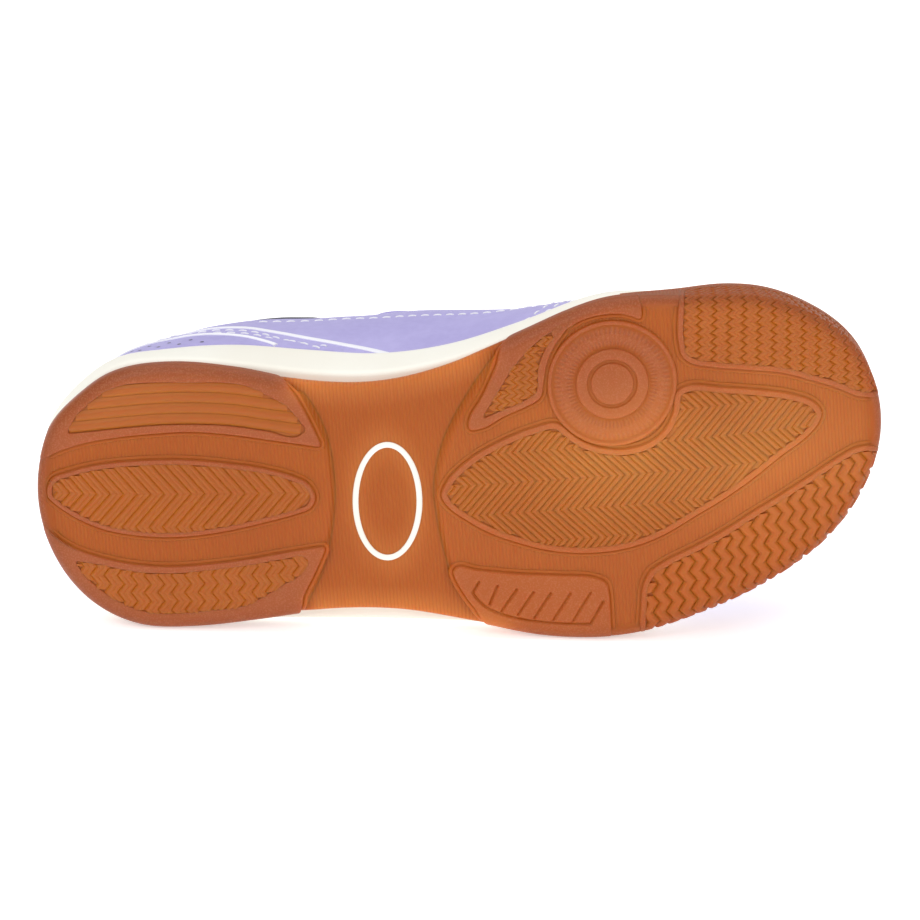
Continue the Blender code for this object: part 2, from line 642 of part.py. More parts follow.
def lace_run(name, start, end, dip):
    """A flat stretch of lace from a medial eyelet to a lateral one, let down in the middle."""
    over = 2 * GAP + OVERLAY + EYELET_THICK + GAP + LACE_THICK / 2
    reach = 0.5 + (1 - EYELET_CLIMB) / (2 * TUCK)
    steps = 9

    def path(t, out):
        across = reach * (2 * t - 1)
        hollow = max(1 - (across / 0.5) ** 2, 0.0) ** 2
        return throat_point(start + (end - start) * t, across, out - dip * hollow)
    loops = []
    for i in range(steps + 1):
        t = i / steps
        place = path(t, over)
        run = unit(path(min(t + 0.02, 1), over) - path(max(t - 0.02, 0), over))
        face = path(t, over + 1) - place
        face = unit(face - run * face.dot(run))
        wide, deep = np.cross(run, face) * LACE_WIDE / 2, face * LACE_THICK / 2
        loops.append([place + wide + deep, place - wide + deep, place - wide - deep, place + wide - deep])
    points = [p for loop in loops for p in loop]
    last = len(points) - 4
    faces = skin(len(loops), 4) + [(0, 1, 2, 3), (last + 3, last + 2, last + 1, last)]
    return solid(name, points, faces, "lace")


def lace():
    """A bar across the lowest eyelets and a crossing above each pair, joined where they meet."""
    whole = lace_run("lace", EYELET_TURNS[-1], EYELET_TURNS[-1], LACE_DIP)
    for i, (high, low) in enumerate(zip(EYELET_TURNS, EYELET_TURNS[1:])):
        combine(whole, lace_run(f"lace_over_{i}", low, high, LACE_DIP - 0.9), "UNION")
        combine(whole, lace_run(f"lace_under_{i}", high, low, LACE_DIP), "UNION")


def eyelet_seat(turn, out):
    return off_wall(turn, EYELET_CLIMB, out), wall_normal(turn, EYELET_CLIMB)


def disc(name, turn, inner, outer, low, high, slot, sides=10):
    """A ring standing on the upper at an eyelet, or a plug where inner is 0."""
    foot, face = eyelet_seat(turn, 0.0)
    wide = unit(np.cross(face, np.array([0, 0, 1.0])))
    tall = np.cross(face, wide)
    profile = [(inner, low), (outer, low), (outer, high), (inner, high)]
    if inner:
        profile.append(profile[0])
    points = []
    for radius, out in profile:
        for i in range(sides):
            angle = 2 * math.pi * i / sides
            points.append(foot + face * out + radius * (wide * math.cos(angle) + tall * math.sin(angle)))
    return solid(name, points, skin(len(profile), sides), slot)


def eyelets(body, stays):
    top = 2 * GAP + OVERLAY + EYELET_THICK
    ways = {"medial": 1, "lateral": -1}
    for side, way in ways.items():
        for i, turn in enumerate(EYELET_TURNS):
            name, seat = f"{side}_{i + 1}", 2 * GAP + OVERLAY
            disc(f"eyelet_{name}", way * turn, EYELET_HOLE, EYELET_FLANGE, seat, top, "eyelet")
            hole = disc(f"hole_{name}", way * turn, 0.0, EYELET_HOLE, -3 * WALL, 3 * WALL, "eyelet")
            combine(body, hole, "DIFFERENCE")
            combine(stays[side], hole, "DIFFERENCE")


def settle():
    """Lowest point on the floor, and the middle of the box over the origin."""
    bpy.context.view_layer.update()
    built = bpy.context.evaluated_depsgraph_get()
    corners = np.array([v.co[:] for o in bpy.data.objects if not o.hide_render
                        for v in o.evaluated_get(built).data.vertices])
    low, high = corners.min(axis=0), corners.max(axis=0)
    shift = Matrix.Translation((-(low[0] + high[0]) / 2, -(low[1] + high[1]) / 2, -low[2]))
    for o in bpy.data.objects:
        o.data.transform(shift)


for old in list(bpy.data.objects):
    bpy.data.objects.remove(old)
outsole()
midsole()
insole()
shell = upper()
stays = overlays()
collar_lining()
tongue()
eyelets(shell, stays)
lace()
settle()
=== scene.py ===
"""Athletic shoe for the left foot, dressed: gum sole, cream midsole, lilac upper, lining, laces and stitches.

Shapes are worked out upright and in millimetres, as the part is: x from heel to toe, y to the lateral (outer)
side and z up from the ground. place() lays them over on the lateral side, where the frame has the shoe. Going
round the shoe is a turn: 0 at the back of the heel, pi at the toe, the medial side in between.
"""
import math
from collections import namedtuple

import bmesh
import bpy
import numpy as np
from mathutils import Matrix, Vector


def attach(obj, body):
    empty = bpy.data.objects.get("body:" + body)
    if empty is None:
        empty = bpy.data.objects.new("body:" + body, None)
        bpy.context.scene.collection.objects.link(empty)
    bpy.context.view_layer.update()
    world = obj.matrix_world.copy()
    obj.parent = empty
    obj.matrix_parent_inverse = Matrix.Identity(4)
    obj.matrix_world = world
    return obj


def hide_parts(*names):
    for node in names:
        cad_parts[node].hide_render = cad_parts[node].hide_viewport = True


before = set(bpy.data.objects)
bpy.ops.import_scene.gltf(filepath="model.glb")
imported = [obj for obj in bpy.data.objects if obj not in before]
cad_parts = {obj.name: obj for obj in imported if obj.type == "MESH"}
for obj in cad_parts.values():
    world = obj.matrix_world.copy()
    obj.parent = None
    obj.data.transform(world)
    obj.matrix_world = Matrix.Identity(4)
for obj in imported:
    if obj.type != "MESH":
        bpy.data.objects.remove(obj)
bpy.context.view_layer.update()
bpy.ops.object.select_all(action="DESELECT")

# Frame of the shoe
MM = 0.001
LENGTH = 205.0
GAP = 0.3                   # between pieces that lie on one another
LEAN, PITCH = math.radians(6.60), math.radians(6.48)
ON_SIDE = Matrix(((1, 0, 0), (0, 0, 1), (0, -1, 0)))
TO_REST = Matrix.Rotation(-LEAN, 3, "X") @ Matrix.Rotation(-PITCH, 3, "Y") @ ON_SIDE
REST_AT = Vector((-0.1024964, -0.040124, 0.0358979))

# Sole
CHANNEL_RISE = 1.0          # floor of the channels between the blocks, off the tread
WAIST_RISE = 2.6            # and that of the waist
PLATE_TOP = 6.5
FOOTBED_DROP = 4.0          # footbed under the midsole's rim
LEDGE, LEDGE_SLOPE = 5.0, 0.8               # width of that rim, and of the slope inside it
INSOLE_THICK = 3.0
EDGE_ROLL = 2.6             # radius where the tread rolls over to the side
OVERHANG = 3.6              # how far the blocks at the edge carry on past it, up the side
TOE_OVERHANG = 9.6
SIDE_TUCK = 0.45            # the plate's side behind that of the blocks
TOE_TUCK = 1.1              # and behind the toe wrap besides
CHANNEL_AT_EDGE = 0.1       # share of the channels' depth that is left at the outsole's edge
CHANNEL_EDGE = 0.3          # how far in from there they start to deepen
CHANNEL_EASE = 3.2          # and over how far
WAIST_FROM, WAIST_TO = 58.0, 118.0          # the waist between the blocks, from heel to toe
WAIST_EASE_HEEL, WAIST_EASE_FORE = 8.0, 12.0
WRAP_FROM_MEDIAL, WRAP_FROM_LATERAL = 0.70, 0.715       # shares of the length where the toe wrap starts
WRAP_EASE_MEDIAL, WRAP_EASE_LATERAL = 0.3, 0.2          # turns over which it comes in
WRAP_HIGH = 12.5            # its upper edge off the tread
WRAP_LOW = 1.0              # its upper edge under the plate's top, where it starts
WRAP_INNER = 4.0            # how far in under the toe its skin goes
WRAP_SUNK = 0.03            # its face under the floor of the channels
WRAP_THICK = 1.8
SPINE_SHARE = 0.7           # of the length, taken up by the sole's middle line

# Upper
WALL = 2.2                  # thickness
SEAT = 1.4                  # its foot, in from the edge of the midsole's top
RIDGE = 5.8                 # how far across the two sides meet over the toes
VAMP_POINT = math.radians(112.5)            # turn from which they meet
CLOSES_FROM, CLOSES_OVER = 80.0, 30.0       # degrees from which the two sides lean in to meet
RIDGE_STEP = 6.0            # degrees each way over which the fall of the ridge over the toes is read
RIDGE_AHEAD, RIDGE_BEHIND = 174.0, 162.0    # the last degrees that it is read at
OVERLAY = 1.1               # thickness of the eyestays
LINING = 3.8                # and of the collar's padding
TUCK = 0.17                 # climb by which the tongue goes on under the throat's edges

# Sections across the sole, by share of its length. centre and half: middle and half width of the outsole.
# tread and feather: heights of the tread and of the midsole's top. low and top: how far the midsole's side is
# out past the outsole's edge.
Section = namedtuple("Section",
                     "share centre half tread feather low_medial low_lateral top_medial top_lateral")
SECTIONS = [
    Section(0.02, 5.6, 17.3, 2.4, 24.0, -1.0, -1.0, -3.6, -3.6),
    Section(0.05, 6.2, 24.8, 1.0, 24.0, -0.4, -1.2, -2.8, -4.0),
    Section(0.10, 6.1, 31.3, 0.1, 23.6, 0.2, -1.2, -2.2, -4.2),
    Section(0.17, 6.4, 33.1, 0.0, 23.0, 0.0, -0.6, -1.6, -3.0),
    Section(0.25, 7.6, 31.5, 0.0, 22.3, 0.4, 1.6, 1.0, -0.4),
    Section(0.33, 9.5, 28.8, 0.0, 21.5, 1.6, 3.8, 3.4, 2.2),
    Section(0.41, 11.0, 28.7, 0.0, 20.4, 1.6, 4.0, 3.2, 2.6),
    Section(0.50, 11.8, 32.6, 0.0, 18.5, 0.4, 1.6, 1.4, 0.6),
    Section(0.58, 11.0, 38.1, 0.0, 16.8, -1.0, -0.8, -1.2, -1.6),
    Section(0.68, 8.5, 42.2, 0.0, 15.3, -2.0, -2.0, -2.9, -2.9),
    Section(0.78, 6.7, 39.6, 0.9, 15.6, -3.1, -3.1, -3.7, -3.7),
    Section(0.87, 4.5, 34.8, 3.6, 17.4, -3.1, -3.1, -4.0, -4.0),
    Section(0.94, 3.8, 26.0, 7.0, 20.0, -3.1, -3.1, -4.3, -4.3),
    Section(0.98, 3.1, 16.0, 9.6, 21.8, -3.1, -3.1, -4.4, -4.4),
]

# Sections of the upper's wall, by degrees round the shoe. edge: share of the length where its top is. gap:
# half the opening there. height: of its top. lean and roll: degrees that it leans out low down and in at its
# top. pull: how far it keeps to them.
Wall = namedtuple("Wall", "turn edge gap height lean roll pull_low pull_high")
WALLS = [
    Wall(0, 0.046, 0.0, 68.0, 4, 14, 0.33, 0.33),
    Wall(20, 0.062, 8.2, 67.0, 0, 14, 0.33, 0.33),
    Wall(40, 0.125, 17.0, 64.0, -3, 14, 0.33, 0.33),
    Wall(55, 0.212, 24.2, 60.5, 3, 13, 0.33, 0.33),
    Wall(70, 0.315, 25.8, 58.5, 5, 13, 0.33, 0.33),
    Wall(78, 0.375, 22.5, 66.5, 7, 28, 0.34, 0.36),
    Wall(85, 0.430, 16.5, 73.0, 8, 46, 0.36, 0.40),
    Wall(100, 0.545, 12.0, 61.5, 8, 62, 0.38, 0.40),
    Wall(108, 0.602, 8.5, 54.0, 6, 76, 0.40, 0.40),
    Wall(112.5, 0.635, 0.0, 51.0, 5, 90, 0.42, 0.42),
    Wall(130, 0.720, 0.0, 45.8, 4, 90, 0.44, 0.44),
    Wall(150, 0.800, 0.0, 42.4, 4, 90, 0.44, 0.44),
    Wall(165, 0.842, 0.0, 40.6, 4, 90, 0.42, 0.42),
    Wall(180, 0.856, 0.0, 40.0, 4, 90, 0.42, 0.42),
]

# Blocks of the tread in plan. Each side goes from heel to toe, by places (At) and along the outsole's own
# edge (Edge).
At = namedtuple("At", "along across")
Edge = namedtuple("Edge", "first last")
Block = namedtuple("Block", "medial lateral")
PLATFORMS = [
    Block(medial=[Edge(1.0, 61.4), At(62.5, -20.5), At(66.9, -14.1), At(69.2, -8.7), At(70.5, -3.0),
                  At(70.9, 4.0)],
          lateral=[Edge(1.0, 61.0), At(61.6, 35.8), At(65.4, 29.4), At(67.7, 23.4), At(69.6, 16.5),
                   At(70.8, 9.0)]),
    Block(medial=[At(96.1, 10.5), At(97.0, 5.5), At(98.8, -0.4), At(105.9, -12.6), At(115.5, -24.5),
                  Edge(117.2, 204.2)],
          lateral=[At(96.2, 14.0), At(97.0, 22.5), At(100.4, 35.7), At(105.2, 42.5), Edge(107.5, 204.2)]),
]
BLOCKS = {
    "heel_medial": Block(
        medial=[Edge(1.7, 60.8), At(62.5, -20.1), At(65.2, -14.7), At(67.4, -9.4), At(69.4, -3.6)],
        lateral=[At(1.4, -4.9), At(7.1, -7.5), At(12.7, -9.1), At(20.5, -10.0), At(29.6, -10.2),
                 At(38.6, -9.9), At(47.5, -8.5), At(56.3, -6.5), At(69.4, -3.4)]),
    "heel_leaf": Block(
        medial=[At(2.7, 1.8), At(4.0, -0.3), At(8.3, -2.0), At(13.0, -3.1), At(19.9, -3.7), At(28.9, -3.6),
                At(37.9, -2.8), At(46.8, -1.2), At(55.6, 0.9), At(62.2, 3.4), At(65.6, 5.6),
                At(66.9, 8.6)],
        lateral=[At(2.6, 4.2), At(5.1, 6.7), At(9.4, 9.7), At(15.9, 12.9), At(22.6, 14.7), At(29.3, 15.8),
                 At(36.1, 16.1), At(45.2, 15.5), At(54.4, 14.1), At(61.4, 12.8), At(65.6, 11.5),
                 At(66.9, 9.4)]),
    "heel_lateral": Block(
        medial=[At(0.6, 10.8), At(4.7, 15.3), At(8.6, 17.7), At(13.0, 19.5), At(21.8, 22.1), At(30.8, 23.5),
                At(39.9, 23.6), At(49.1, 23.2), At(58.2, 22.3), At(68.3, 21.5)],
        lateral=[Edge(1.0, 59.7), At(61.8, 33.4), At(65.6, 27.0), At(68.3, 21.8)]),
    "fore_leaf": Block(
        medial=[At(97.1, 10.4), At(98.8, 7.6), At(104.2, 2.9), At(113.0, -1.5), At(120.2, -3.8),
                At(126.6, -4.4), At(128.5, -2.4), At(131.9, 0.5), At(137.4, 2.8), At(143.0, 3.3),
                At(148.8, 1.7), At(152.5, -1.6), At(154.4, -5.8), At(155.2, -9.8), At(156.6, -10.6),
                At(166.5, -9.6), At(175.0, -7.9), At(183.5, -5.5), At(188.4, -2.9), At(190.1, -0.6)],
        lateral=[At(97.0, 11.5), At(98.3, 13.9), At(102.3, 17.5), At(107.7, 21.3), At(114.5, 24.5),
                 At(121.5, 27.0), At(128.5, 28.3), At(135.6, 28.6), At(142.7, 27.8), At(150.0, 25.5),
                 At(157.4, 21.8), At(164.8, 18.2), At(172.2, 14.0), At(179.7, 9.1), At(185.7, 5.6),
                 At(189.2, 2.4), At(190.1, 0.6)]),
    "fore_medial": Block(
        medial=[At(104.8, -5.1), At(105.0, -6.6), At(108.9, -12.8), At(113.0, -20.5), Edge(116.2, 131.0)],
        lateral=[At(105.1, -4.4), At(108.3, -4.8), At(113.4, -7.3), At(119.2, -9.4), At(122.8, -11.4),
                 At(123.4, -13.8), At(124.5, -18.8), At(126.6, -23.3), At(129.6, -27.1), At(131.4, -29.4)]),
    "pivot_side": Block(
        medial=[Edge(126.0, 148.0)],
        lateral=[At(127.0, -24.4), At(129.6, -27.2), At(133.0, -29.2), At(136.4, -30.2), At(140.0, -30.5),
                 At(143.6, -30.2), At(146.4, -29.2), At(147.9, -28.3), At(148.2, -31.0)]),
    "fore_lateral": Block(
        medial=[At(98.3, 30.4), At(98.9, 29.6), At(104.1, 30.7), At(113.9, 32.5), At(124.5, 33.8),
                At(132.3, 35.0), At(135.0, 36.4), At(135.6, 40.0)],
        lateral=[At(98.3, 31.0), At(99.0, 32.9), At(100.8, 36.8), At(103.3, 40.8), Edge(107.4, 135.4)]),
    "toe_medial": Block(
        medial=[Edge(158.0, 204.3)],
        lateral=[At(157.2, -31.8), At(156.5, -21.7), At(157.1, -18.3), At(159.1, -16.5), At(163.3, -15.2),
                 At(173.9, -13.0), At(180.9, -11.4), At(188.0, -8.5), At(195.1, -5.1), At(199.4, -2.5),
                 At(204.0, -1.6)]),
    "toe_lateral": Block(
        medial=[At(142.5, 47.5), At(143.1, 43.5), At(144.1, 37.6), At(145.4, 35.1), At(149.5, 32.5),
                At(156.9, 29.5), At(164.3, 26.3), At(171.7, 22.5), At(179.1, 19.0), At(186.6, 15.3),
                At(194.1, 11.7), At(198.2, 10.2), At(203.0, 10.4)],
        lateral=[Edge(142.4, 203.4)]),
}

# Recesses in the blocks, where the ribs are. Some lie inside the block by the width of its rim, others have
# shapes of their own.
RIMS = {"heel_leaf": 1.15, "fore_leaf": 1.45, "toe_medial": 1.35, "toe_lateral": 1.35}
RECESSES = {
    "heel_medial": Block(
        medial=[At(9.4, -12.4), At(11.6, -15.8), At(14.6, -18.4), At(18.4, -21.0), At(23.1, -22.7),
                At(30.8, -22.8), At(39.7, -22.0), At(46.4, -21.5), At(53.0, -20.0), At(57.3, -17.5),
                At(61.5, -14.6), At(66.0, -8.4)],
        lateral=[At(9.3, -11.6), At(20.7, -12.1), At(29.8, -12.2), At(38.7, -11.7), At(47.6, -10.6),
                 At(56.5, -8.6), At(64.5, -6.8), At(65.9, -7.8)]),
    "heel_lateral": Block(
        medial=[At(7.8, 20.4), At(12.8, 21.4), At(21.7, 23.9), At(30.7, 25.1), At(39.8, 25.1),
                At(48.9, 24.7), At(58.1, 23.8), At(62.7, 23.7), At(63.7, 24.7)],
        lateral=[At(7.8, 20.8), At(8.9, 23.0), At(12.2, 27.0), At(17.3, 31.1), At(23.4, 34.2),
                 At(29.7, 35.2), At(38.8, 35.2), At(48.0, 34.6), At(52.7, 32.6), At(56.6, 30.5),
                 At(61.4, 28.1), At(63.7, 25.2)]),
    "fore_medial": Block(
        medial=[At(108.7, -7.9), At(112.5, -13.3), At(116.4, -18.8), At(120.2, -22.8), At(125.0, -26.5),
                At(128.9, -28.4)],
        lateral=[At(108.8, -7.3), At(113.6, -9.1), At(119.3, -11.2), At(121.6, -12.8), At(122.5, -18.3),
                 At(124.9, -23.6), At(128.5, -28.0)]),
}

# Ribs inside the recesses. pitch: from one to the next. half: half a wave of the zigzag. slope: of its arms.
# aim: the way that its points face, in degrees from heel to toe. point: a place that the forward points are
# in line with. crest and foot: half their width on top and below. deep: of the grooves between them. sipe: of
# the one along each crest.
Ribs = namedtuple("Ribs", "block pitch half slope aim point crest foot deep sipe")
RIBS = [
    Ribs("heel_leaf", 3.245, 8.30, 0.85, 4.5, (28.6, 4.8), 1.05, 1.60, 0.44, 0.24),
    Ribs("heel_lateral", 3.245, 2.18, 0.78, 4.5, (28.6, 27.6), 1.05, 1.60, 0.44, 0.22),
    Ribs("fore_leaf", 3.56, 7.60, 0.94, 0.7, (121.9, 9.4), 1.15, 1.76, 0.42, 0.34),
    Ribs("fore_medial", 3.74, 1.125, 1.30, 4.5, (116.0, -15.0), 1.20, 1.84, 0.36, 0.28),
    Ribs("toe_medial", 3.63, 1.07, 1.30, 4.5, (170.0, -24.0), 1.10, 1.78, 0.50, 0.22),
    Ribs("toe_lateral", 3.125, 2.39, 0.72, 0.0, (160.0, 38.0), 0.70, 1.54, 0.75, 0.0),
]
LONG_RIBS = [1.5, 4.1, 6.7, 9.3]        # of the heel's medial block, in from the inner side of its recess
LONG_CREST, LONG_FOOT, LONG_DEEP = 0.5, 1.28, 0.46
RIB_EDGE_LIFT, RIB_CREST_LIFT = -0.13, -0.04
RIB_EDGE, SIPE_HALF = 0.16, 0.45
RIB_STEP = 0.5              # from point to point along a rib
RIB_UNDER_RIM = 0.3         # how far the ribs run in under the rim
RIB_RELIEF = 4.0            # relief of the crests, that of the grooves being 1 more
FLOOR_UNDER_RIBS = 0.08     # floor of the recess under the ribs' grooves
FLOOR_INSET = 0.1
FLOOR_RELIEF = 0.3          # relief of that floor over that of the crests

# Grooves in the lateral block of the forefoot, from place to place
Groove = namedtuple("Groove", "along across")
BASE_GROOVE = [Groove(102.7, 36.2), Groove(103.6, 37.8), Groove(106.0, 40.4), Groove(109.2, 42.2),
               Groove(113.5, 43.8), Groove(117.9, 44.9), Groove(121.6, 45.6), Groove(126.4, 46.2),
               Groove(130.5, 46.6)]
SLANT_GROOVES = [
    (Groove(102.7, 36.2), Groove(104.4, 33.6)), (Groove(106.5, 39.6), Groove(108.8, 35.0)),
    (Groove(109.2, 41.6), Groove(113.4, 36.3)), (Groove(113.1, 42.9), Groove(117.4, 37.3)),
    (Groove(117.1, 43.9), Groove(121.5, 38.0)), (Groove(121.5, 45.0), Groove(126.3, 38.4)),
    (Groove(126.3, 45.6), Groove(131.2, 38.6)), (Groove(130.5, 46.6), Groove(134.0, 41.2))]
GROOVE_HALF, GROOVE_DEEP = 0.55, 0.65

PIVOT_ALONG, PIVOT_ACROSS = 140.0, -13.2
Turned = namedtuple("Turned", "radius lift knurled")
PIVOT = [Turned(0.0, 0.0, 0), Turned(4.75, 0.0, 0), Turned(5.0, -0.1, 0), Turned(5.2, -0.6, 0),
         Turned(5.9, -0.6, 0), Turned(6.1, -0.1, 0), Turned(6.35, 0.0, 0), Turned(8.3, 0.0, 0),
         Turned(8.55, -0.1, 0), Turned(8.75, -0.65, 0), Turned(9.3, -0.65, 0), Turned(9.55, -0.45, 1),
         Turned(10.8, -0.1, 1), Turned(11.0, -0.04, 0), Turned(12.4, -0.04, 0), Turned(12.6, -0.1, 1),
         Turned(13.8, -0.45, 1), Turned(14.05, -0.65, 0), Turned(14.4, -0.65, 0), Turned(14.6, -0.35, 0),
         Turned(14.8, -0.2, 0), Turned(15.3, -0.2, 0), Turned(15.55, -0.5, 0), Turned(15.7, -1.3, 0)]
PIVOT_KNURLS, KNURL, KNURL_SHIFT = 72, 0.11, 0.1
PIVOT_SIDE_SUNK = 0.04      # the pad beside the rings, under their face

OVAL_ALONG, OVAL_ACROSS = 84.0, 12.1
OVAL_HALF_LENGTH, OVAL_HALF_WIDTH = 14.2, 7.7
OVAL_BAND = 1.4
OVAL_PROUD, OVAL_SHOULDER, OVAL_EDGE, OVAL_SUNK = 0.4, 0.35, 0.15, 0.7     # of the band, off the waist
OVAL_ROUND = 0.2
OVAL_TILT = math.radians(4.5)

# Painted glow where light comes through the gum: at the waist's edges, round the oval and between the toe's
# blocks
GLOW_EDGE = 4.0             # how far in it reaches at the waist's edges
GLOW_OVAL, GLOW_OVAL_WIDE = 0.55, 0.35      # strength round the oval, and width as a share of the oval's
GLOW_TOE = 0.95
TOE_GLOW_ALONG, TOE_GLOW_ACROSS = 155.0, 7.0
TOE_GLOW_LONG, TOE_GLOW_WIDE = 46.0, 15.0
EDGE_SHADE_REACH = 2.4             # how far in from the other edges shade is painted on

# Lacing
EYELET_TURNS = np.radians([86.5, 91.5, 97.0, 102.5, 107.5])
EYELET_CLIMB = 0.90
SIDES = (1, -1)             # medial and lateral, as the sign of a turn
EYELET_HOLE, EYELET_FLANGE, EYELET_THICK = 2.0, 3.3, 0.8
EYELET_SUNK, EYELET_ROUND = 0.25, 0.4       # into the leather, and rounding as a share of the thickness
PUNCH_ROOM, PUNCH_LONG = 0.25, 12.0
LACE_WIDE, LACE_THICK, LACE_DIP = 5.0, 1.2, 2.2
LACE_OVER, LACE_UNDER = 0.9, 0.4            # how much less or more the two runs of a crossing dip
LACE_END_WIDE, LACE_END_THICK = 2.9, 1.8    # gathered in the eyelets
LACE_GATHERED, LACE_SPREADS = 4, 9.0        # places from its ends, and over which it then spreads
LACE_FLAT, LACE_ROUND = 0.5, 0.7            # powers that make its section a flat band with round edges
LACE_DROPS = np.arange(1, 6) * 1.2          # how far down the ends go through the eyelets


# The shoe's own curves

def place(points):
    """Upright millimetres to metres in the frame, lying on the lateral side."""
    return np.asarray(points) @ np.array(TO_REST).T * MM + np.array(REST_AT)


def along(rows, column, at):
    """A table's column at a place between its rows, on a smooth curve through them."""
    keys = np.array([row[0] for row in rows], dtype=float)
    values = np.array([getattr(row, column) for row in rows], dtype=float)
    slopes = np.gradient(values, keys)
    at = np.clip(at, keys[0], keys[-1])
    i = np.clip(np.searchsorted(keys, at) - 1, 0, len(keys) - 2)
    span = keys[i + 1] - keys[i]
    t = (at - keys[i]) / span
    return (values[i] * (1 + 2 * t) * (1 - t) ** 2 + slopes[i] * span * t * (1 - t) ** 2
            + values[i + 1] * t ** 2 * (3 - 2 * t) - slopes[i + 1] * span * t ** 2 * (1 - t))


def unit(v):
    return v / np.linalg.norm(v, axis=-1, keepdims=True)


def ease(t):
    """0 to 1, level at both ends."""
    t = np.clip(t, 0.0, 1.0)
    return t * t * (3 - 2 * t)


def bell(t):
    """1 in the middle, dying away on both sides."""
    return np.exp(-t ** 2)


def run_along(points, axis=0):
    """How far along a line, or the lines of a grid, each point is."""
    run = np.linalg.norm(np.diff(points, axis=axis), axis=-1).cumsum(axis=axis)
    return np.concatenate([np.zeros_like(np.take(run, [0], axis=axis)), run], axis=axis)


def column(values):
    """Numbers made ready to multiply vectors."""
    return np.asarray(values)[..., None]


def share_at(turn):
    return (1 - np.cos(turn)) / 2


def turn_at(x):
    return math.acos(1 - 2 * x / LENGTH)


def folded(turn):
    """The medial turn opposite a lateral one."""
    turn = np.mod(turn, 2 * math.pi)
    return np.minimum(turn, 2 * math.pi - turn)


Fullness = namedtuple("Fullness", "turn width")
FULLNESS = [Fullness(math.acos(1 - 2 * row.share), row.half / math.sin(math.acos(1 - 2 * row.share)))
            for row in SECTIONS]
TURN_STEP = 0.01


def edge_of_sole(turn):
    share = share_at(turn)
    half = along(FULLNESS, "width", folded(turn)) * np.sin(turn)
    return np.stack([LENGTH * share, along(SECTIONS, "centre", share) - half], axis=-1)


def outward(turn):
    run = unit(edge_of_sole(turn + TURN_STEP) - edge_of_sole(turn - TURN_STEP))
    return np.stack([run[..., 1], -run[..., 0]], axis=-1)


def plan(turn, out=0.0):
    """A point in plan, that far outside the edge of the outsole."""
    return edge_of_sole(turn) + column(out) * outward(turn)


def spine(turn):
    x = LENGTH / 2 + (LENGTH * share_at(turn) - LENGTH / 2) * SPINE_SHARE
    return np.stack([x, along(SECTIONS, "centre", x / LENGTH)], axis=-1)


def sided(turn, name):
    """A value of the sections, on the side of the shoe that the turn is on."""
    medial, lateral = (along(SECTIONS, f"{name}_{side}", share_at(turn)) for side in ("medial", "lateral"))
    return np.where(np.sin(turn) > 0, medial, lateral)


def tread(x):
    return along(SECTIONS, "tread", x / LENGTH)


def feather(x):
    return along(SECTIONS, "feather", x / LENGTH)


def raised(points, heights):
    return np.concatenate([points, column(np.broadcast_to(heights, points.shape[:-1]))], axis=-1)


def ridge_fall(degrees):
    """Slope of the ridge over the toes."""
    ahead = np.minimum(degrees + RIDGE_STEP, RIDGE_AHEAD)
    behind = np.minimum(degrees - RIDGE_STEP, RIDGE_BEHIND)
    return ((along(WALLS, "height", ahead) - along(WALLS, "height", behind))
            / (LENGTH * (along(WALLS, "edge", ahead) - along(WALLS, "edge", behind))))


def met(turn):
    """Where the two sides of the upper meet over the toes."""
    return folded(turn) >= VAMP_POINT - 1e-9


def wall_row(turn):
    """The ends of the upper's section at a turn, and its pull at each end."""
    degrees = np.degrees(folded(turn))
    side = np.where(np.sin(turn) > 0, -1, 1)
    seat = plan(turn, sided(turn, "top") - SEAT)
    foot = raised(seat, feather(seat[..., 0]) + GAP)
    gap = np.where(met(turn), 0.0, np.maximum(along(WALLS, "gap", degrees), 0.0))
    edge = np.stack([LENGTH * along(WALLS, "edge", degrees), RIDGE + side * gap,
                     along(WALLS, "height", degrees)], axis=-1)
    away = outward(turn)
    lean, roll = (np.radians(along(WALLS, name, degrees)) for name in ("lean", "roll"))
    rise = raised(column(np.sin(lean)) * away, np.cos(lean))
    closing = ease((degrees - CLOSES_FROM) / CLOSES_OVER)
    inward = unit(column(1 - closing) * -away + column(closing) * unit((edge - foot)[..., :2]))
    level = unit(raised(inward, closing * ridge_fall(degrees) * inward[..., 0]))
    arrive = unit(column(np.cos(roll)) * np.array([0, 0, 1.0]) + column(np.sin(roll)) * level)
    chord = np.linalg.norm(edge - foot, axis=-1)
    return (foot, edge, rise * column(along(WALLS, "pull_low", degrees) * chord),
            arrive * column(along(WALLS, "pull_high", degrees) * chord))


def wall_point(turn, climb):
    """The outer face of the upper: climb is 0 at the midsole and 1 at the collar, throat or ridge."""
    turn, climb = np.broadcast_arrays(np.asarray(turn, float), np.asarray(climb, float))
    foot, edge, rise, arrive = wall_row(turn)
    t = column(np.minimum(climb, 1.0))
    past = column(np.maximum(climb - 1, 0.0) * np.linalg.norm(edge - foot, axis=-1))
    return (foot * (1 - t) ** 3 + (foot + rise) * 3 * t * (1 - t) ** 2 + (edge - arrive) * 3 * t * t * (1 - t)
            + edge * t ** 3 + unit(arrive) * past)


def wall_normal(turn, climb):
    """Square to the outer face. Where the two sides meet over the toes it is square to the ridge."""
    turn, climb = np.broadcast_arrays(np.asarray(turn, float), np.asarray(climb, float))
    on_face = np.clip(climb, 0, 1)
    up = (wall_point(turn, np.minimum(climb + TURN_STEP, 1.0))
          - wall_point(turn, on_face - np.minimum(TURN_STEP, on_face)))
    onward = wall_point(turn + TURN_STEP, climb) - wall_point(turn - TURN_STEP, climb)
    fall = ridge_fall(np.degrees(folded(turn)))
    ridge = np.stack([-fall, np.zeros_like(turn), np.ones_like(turn)], axis=-1)
    at_ridge = column((climb >= 1) & met(turn))
    return unit(np.where(at_ridge, ridge, np.cross(onward, up)))


def off_wall(turn, climb, out):
    """A point that far out from the upper's outer face."""
    return wall_point(turn, climb) + column(out) * wall_normal(turn, climb)


# The outsole's face

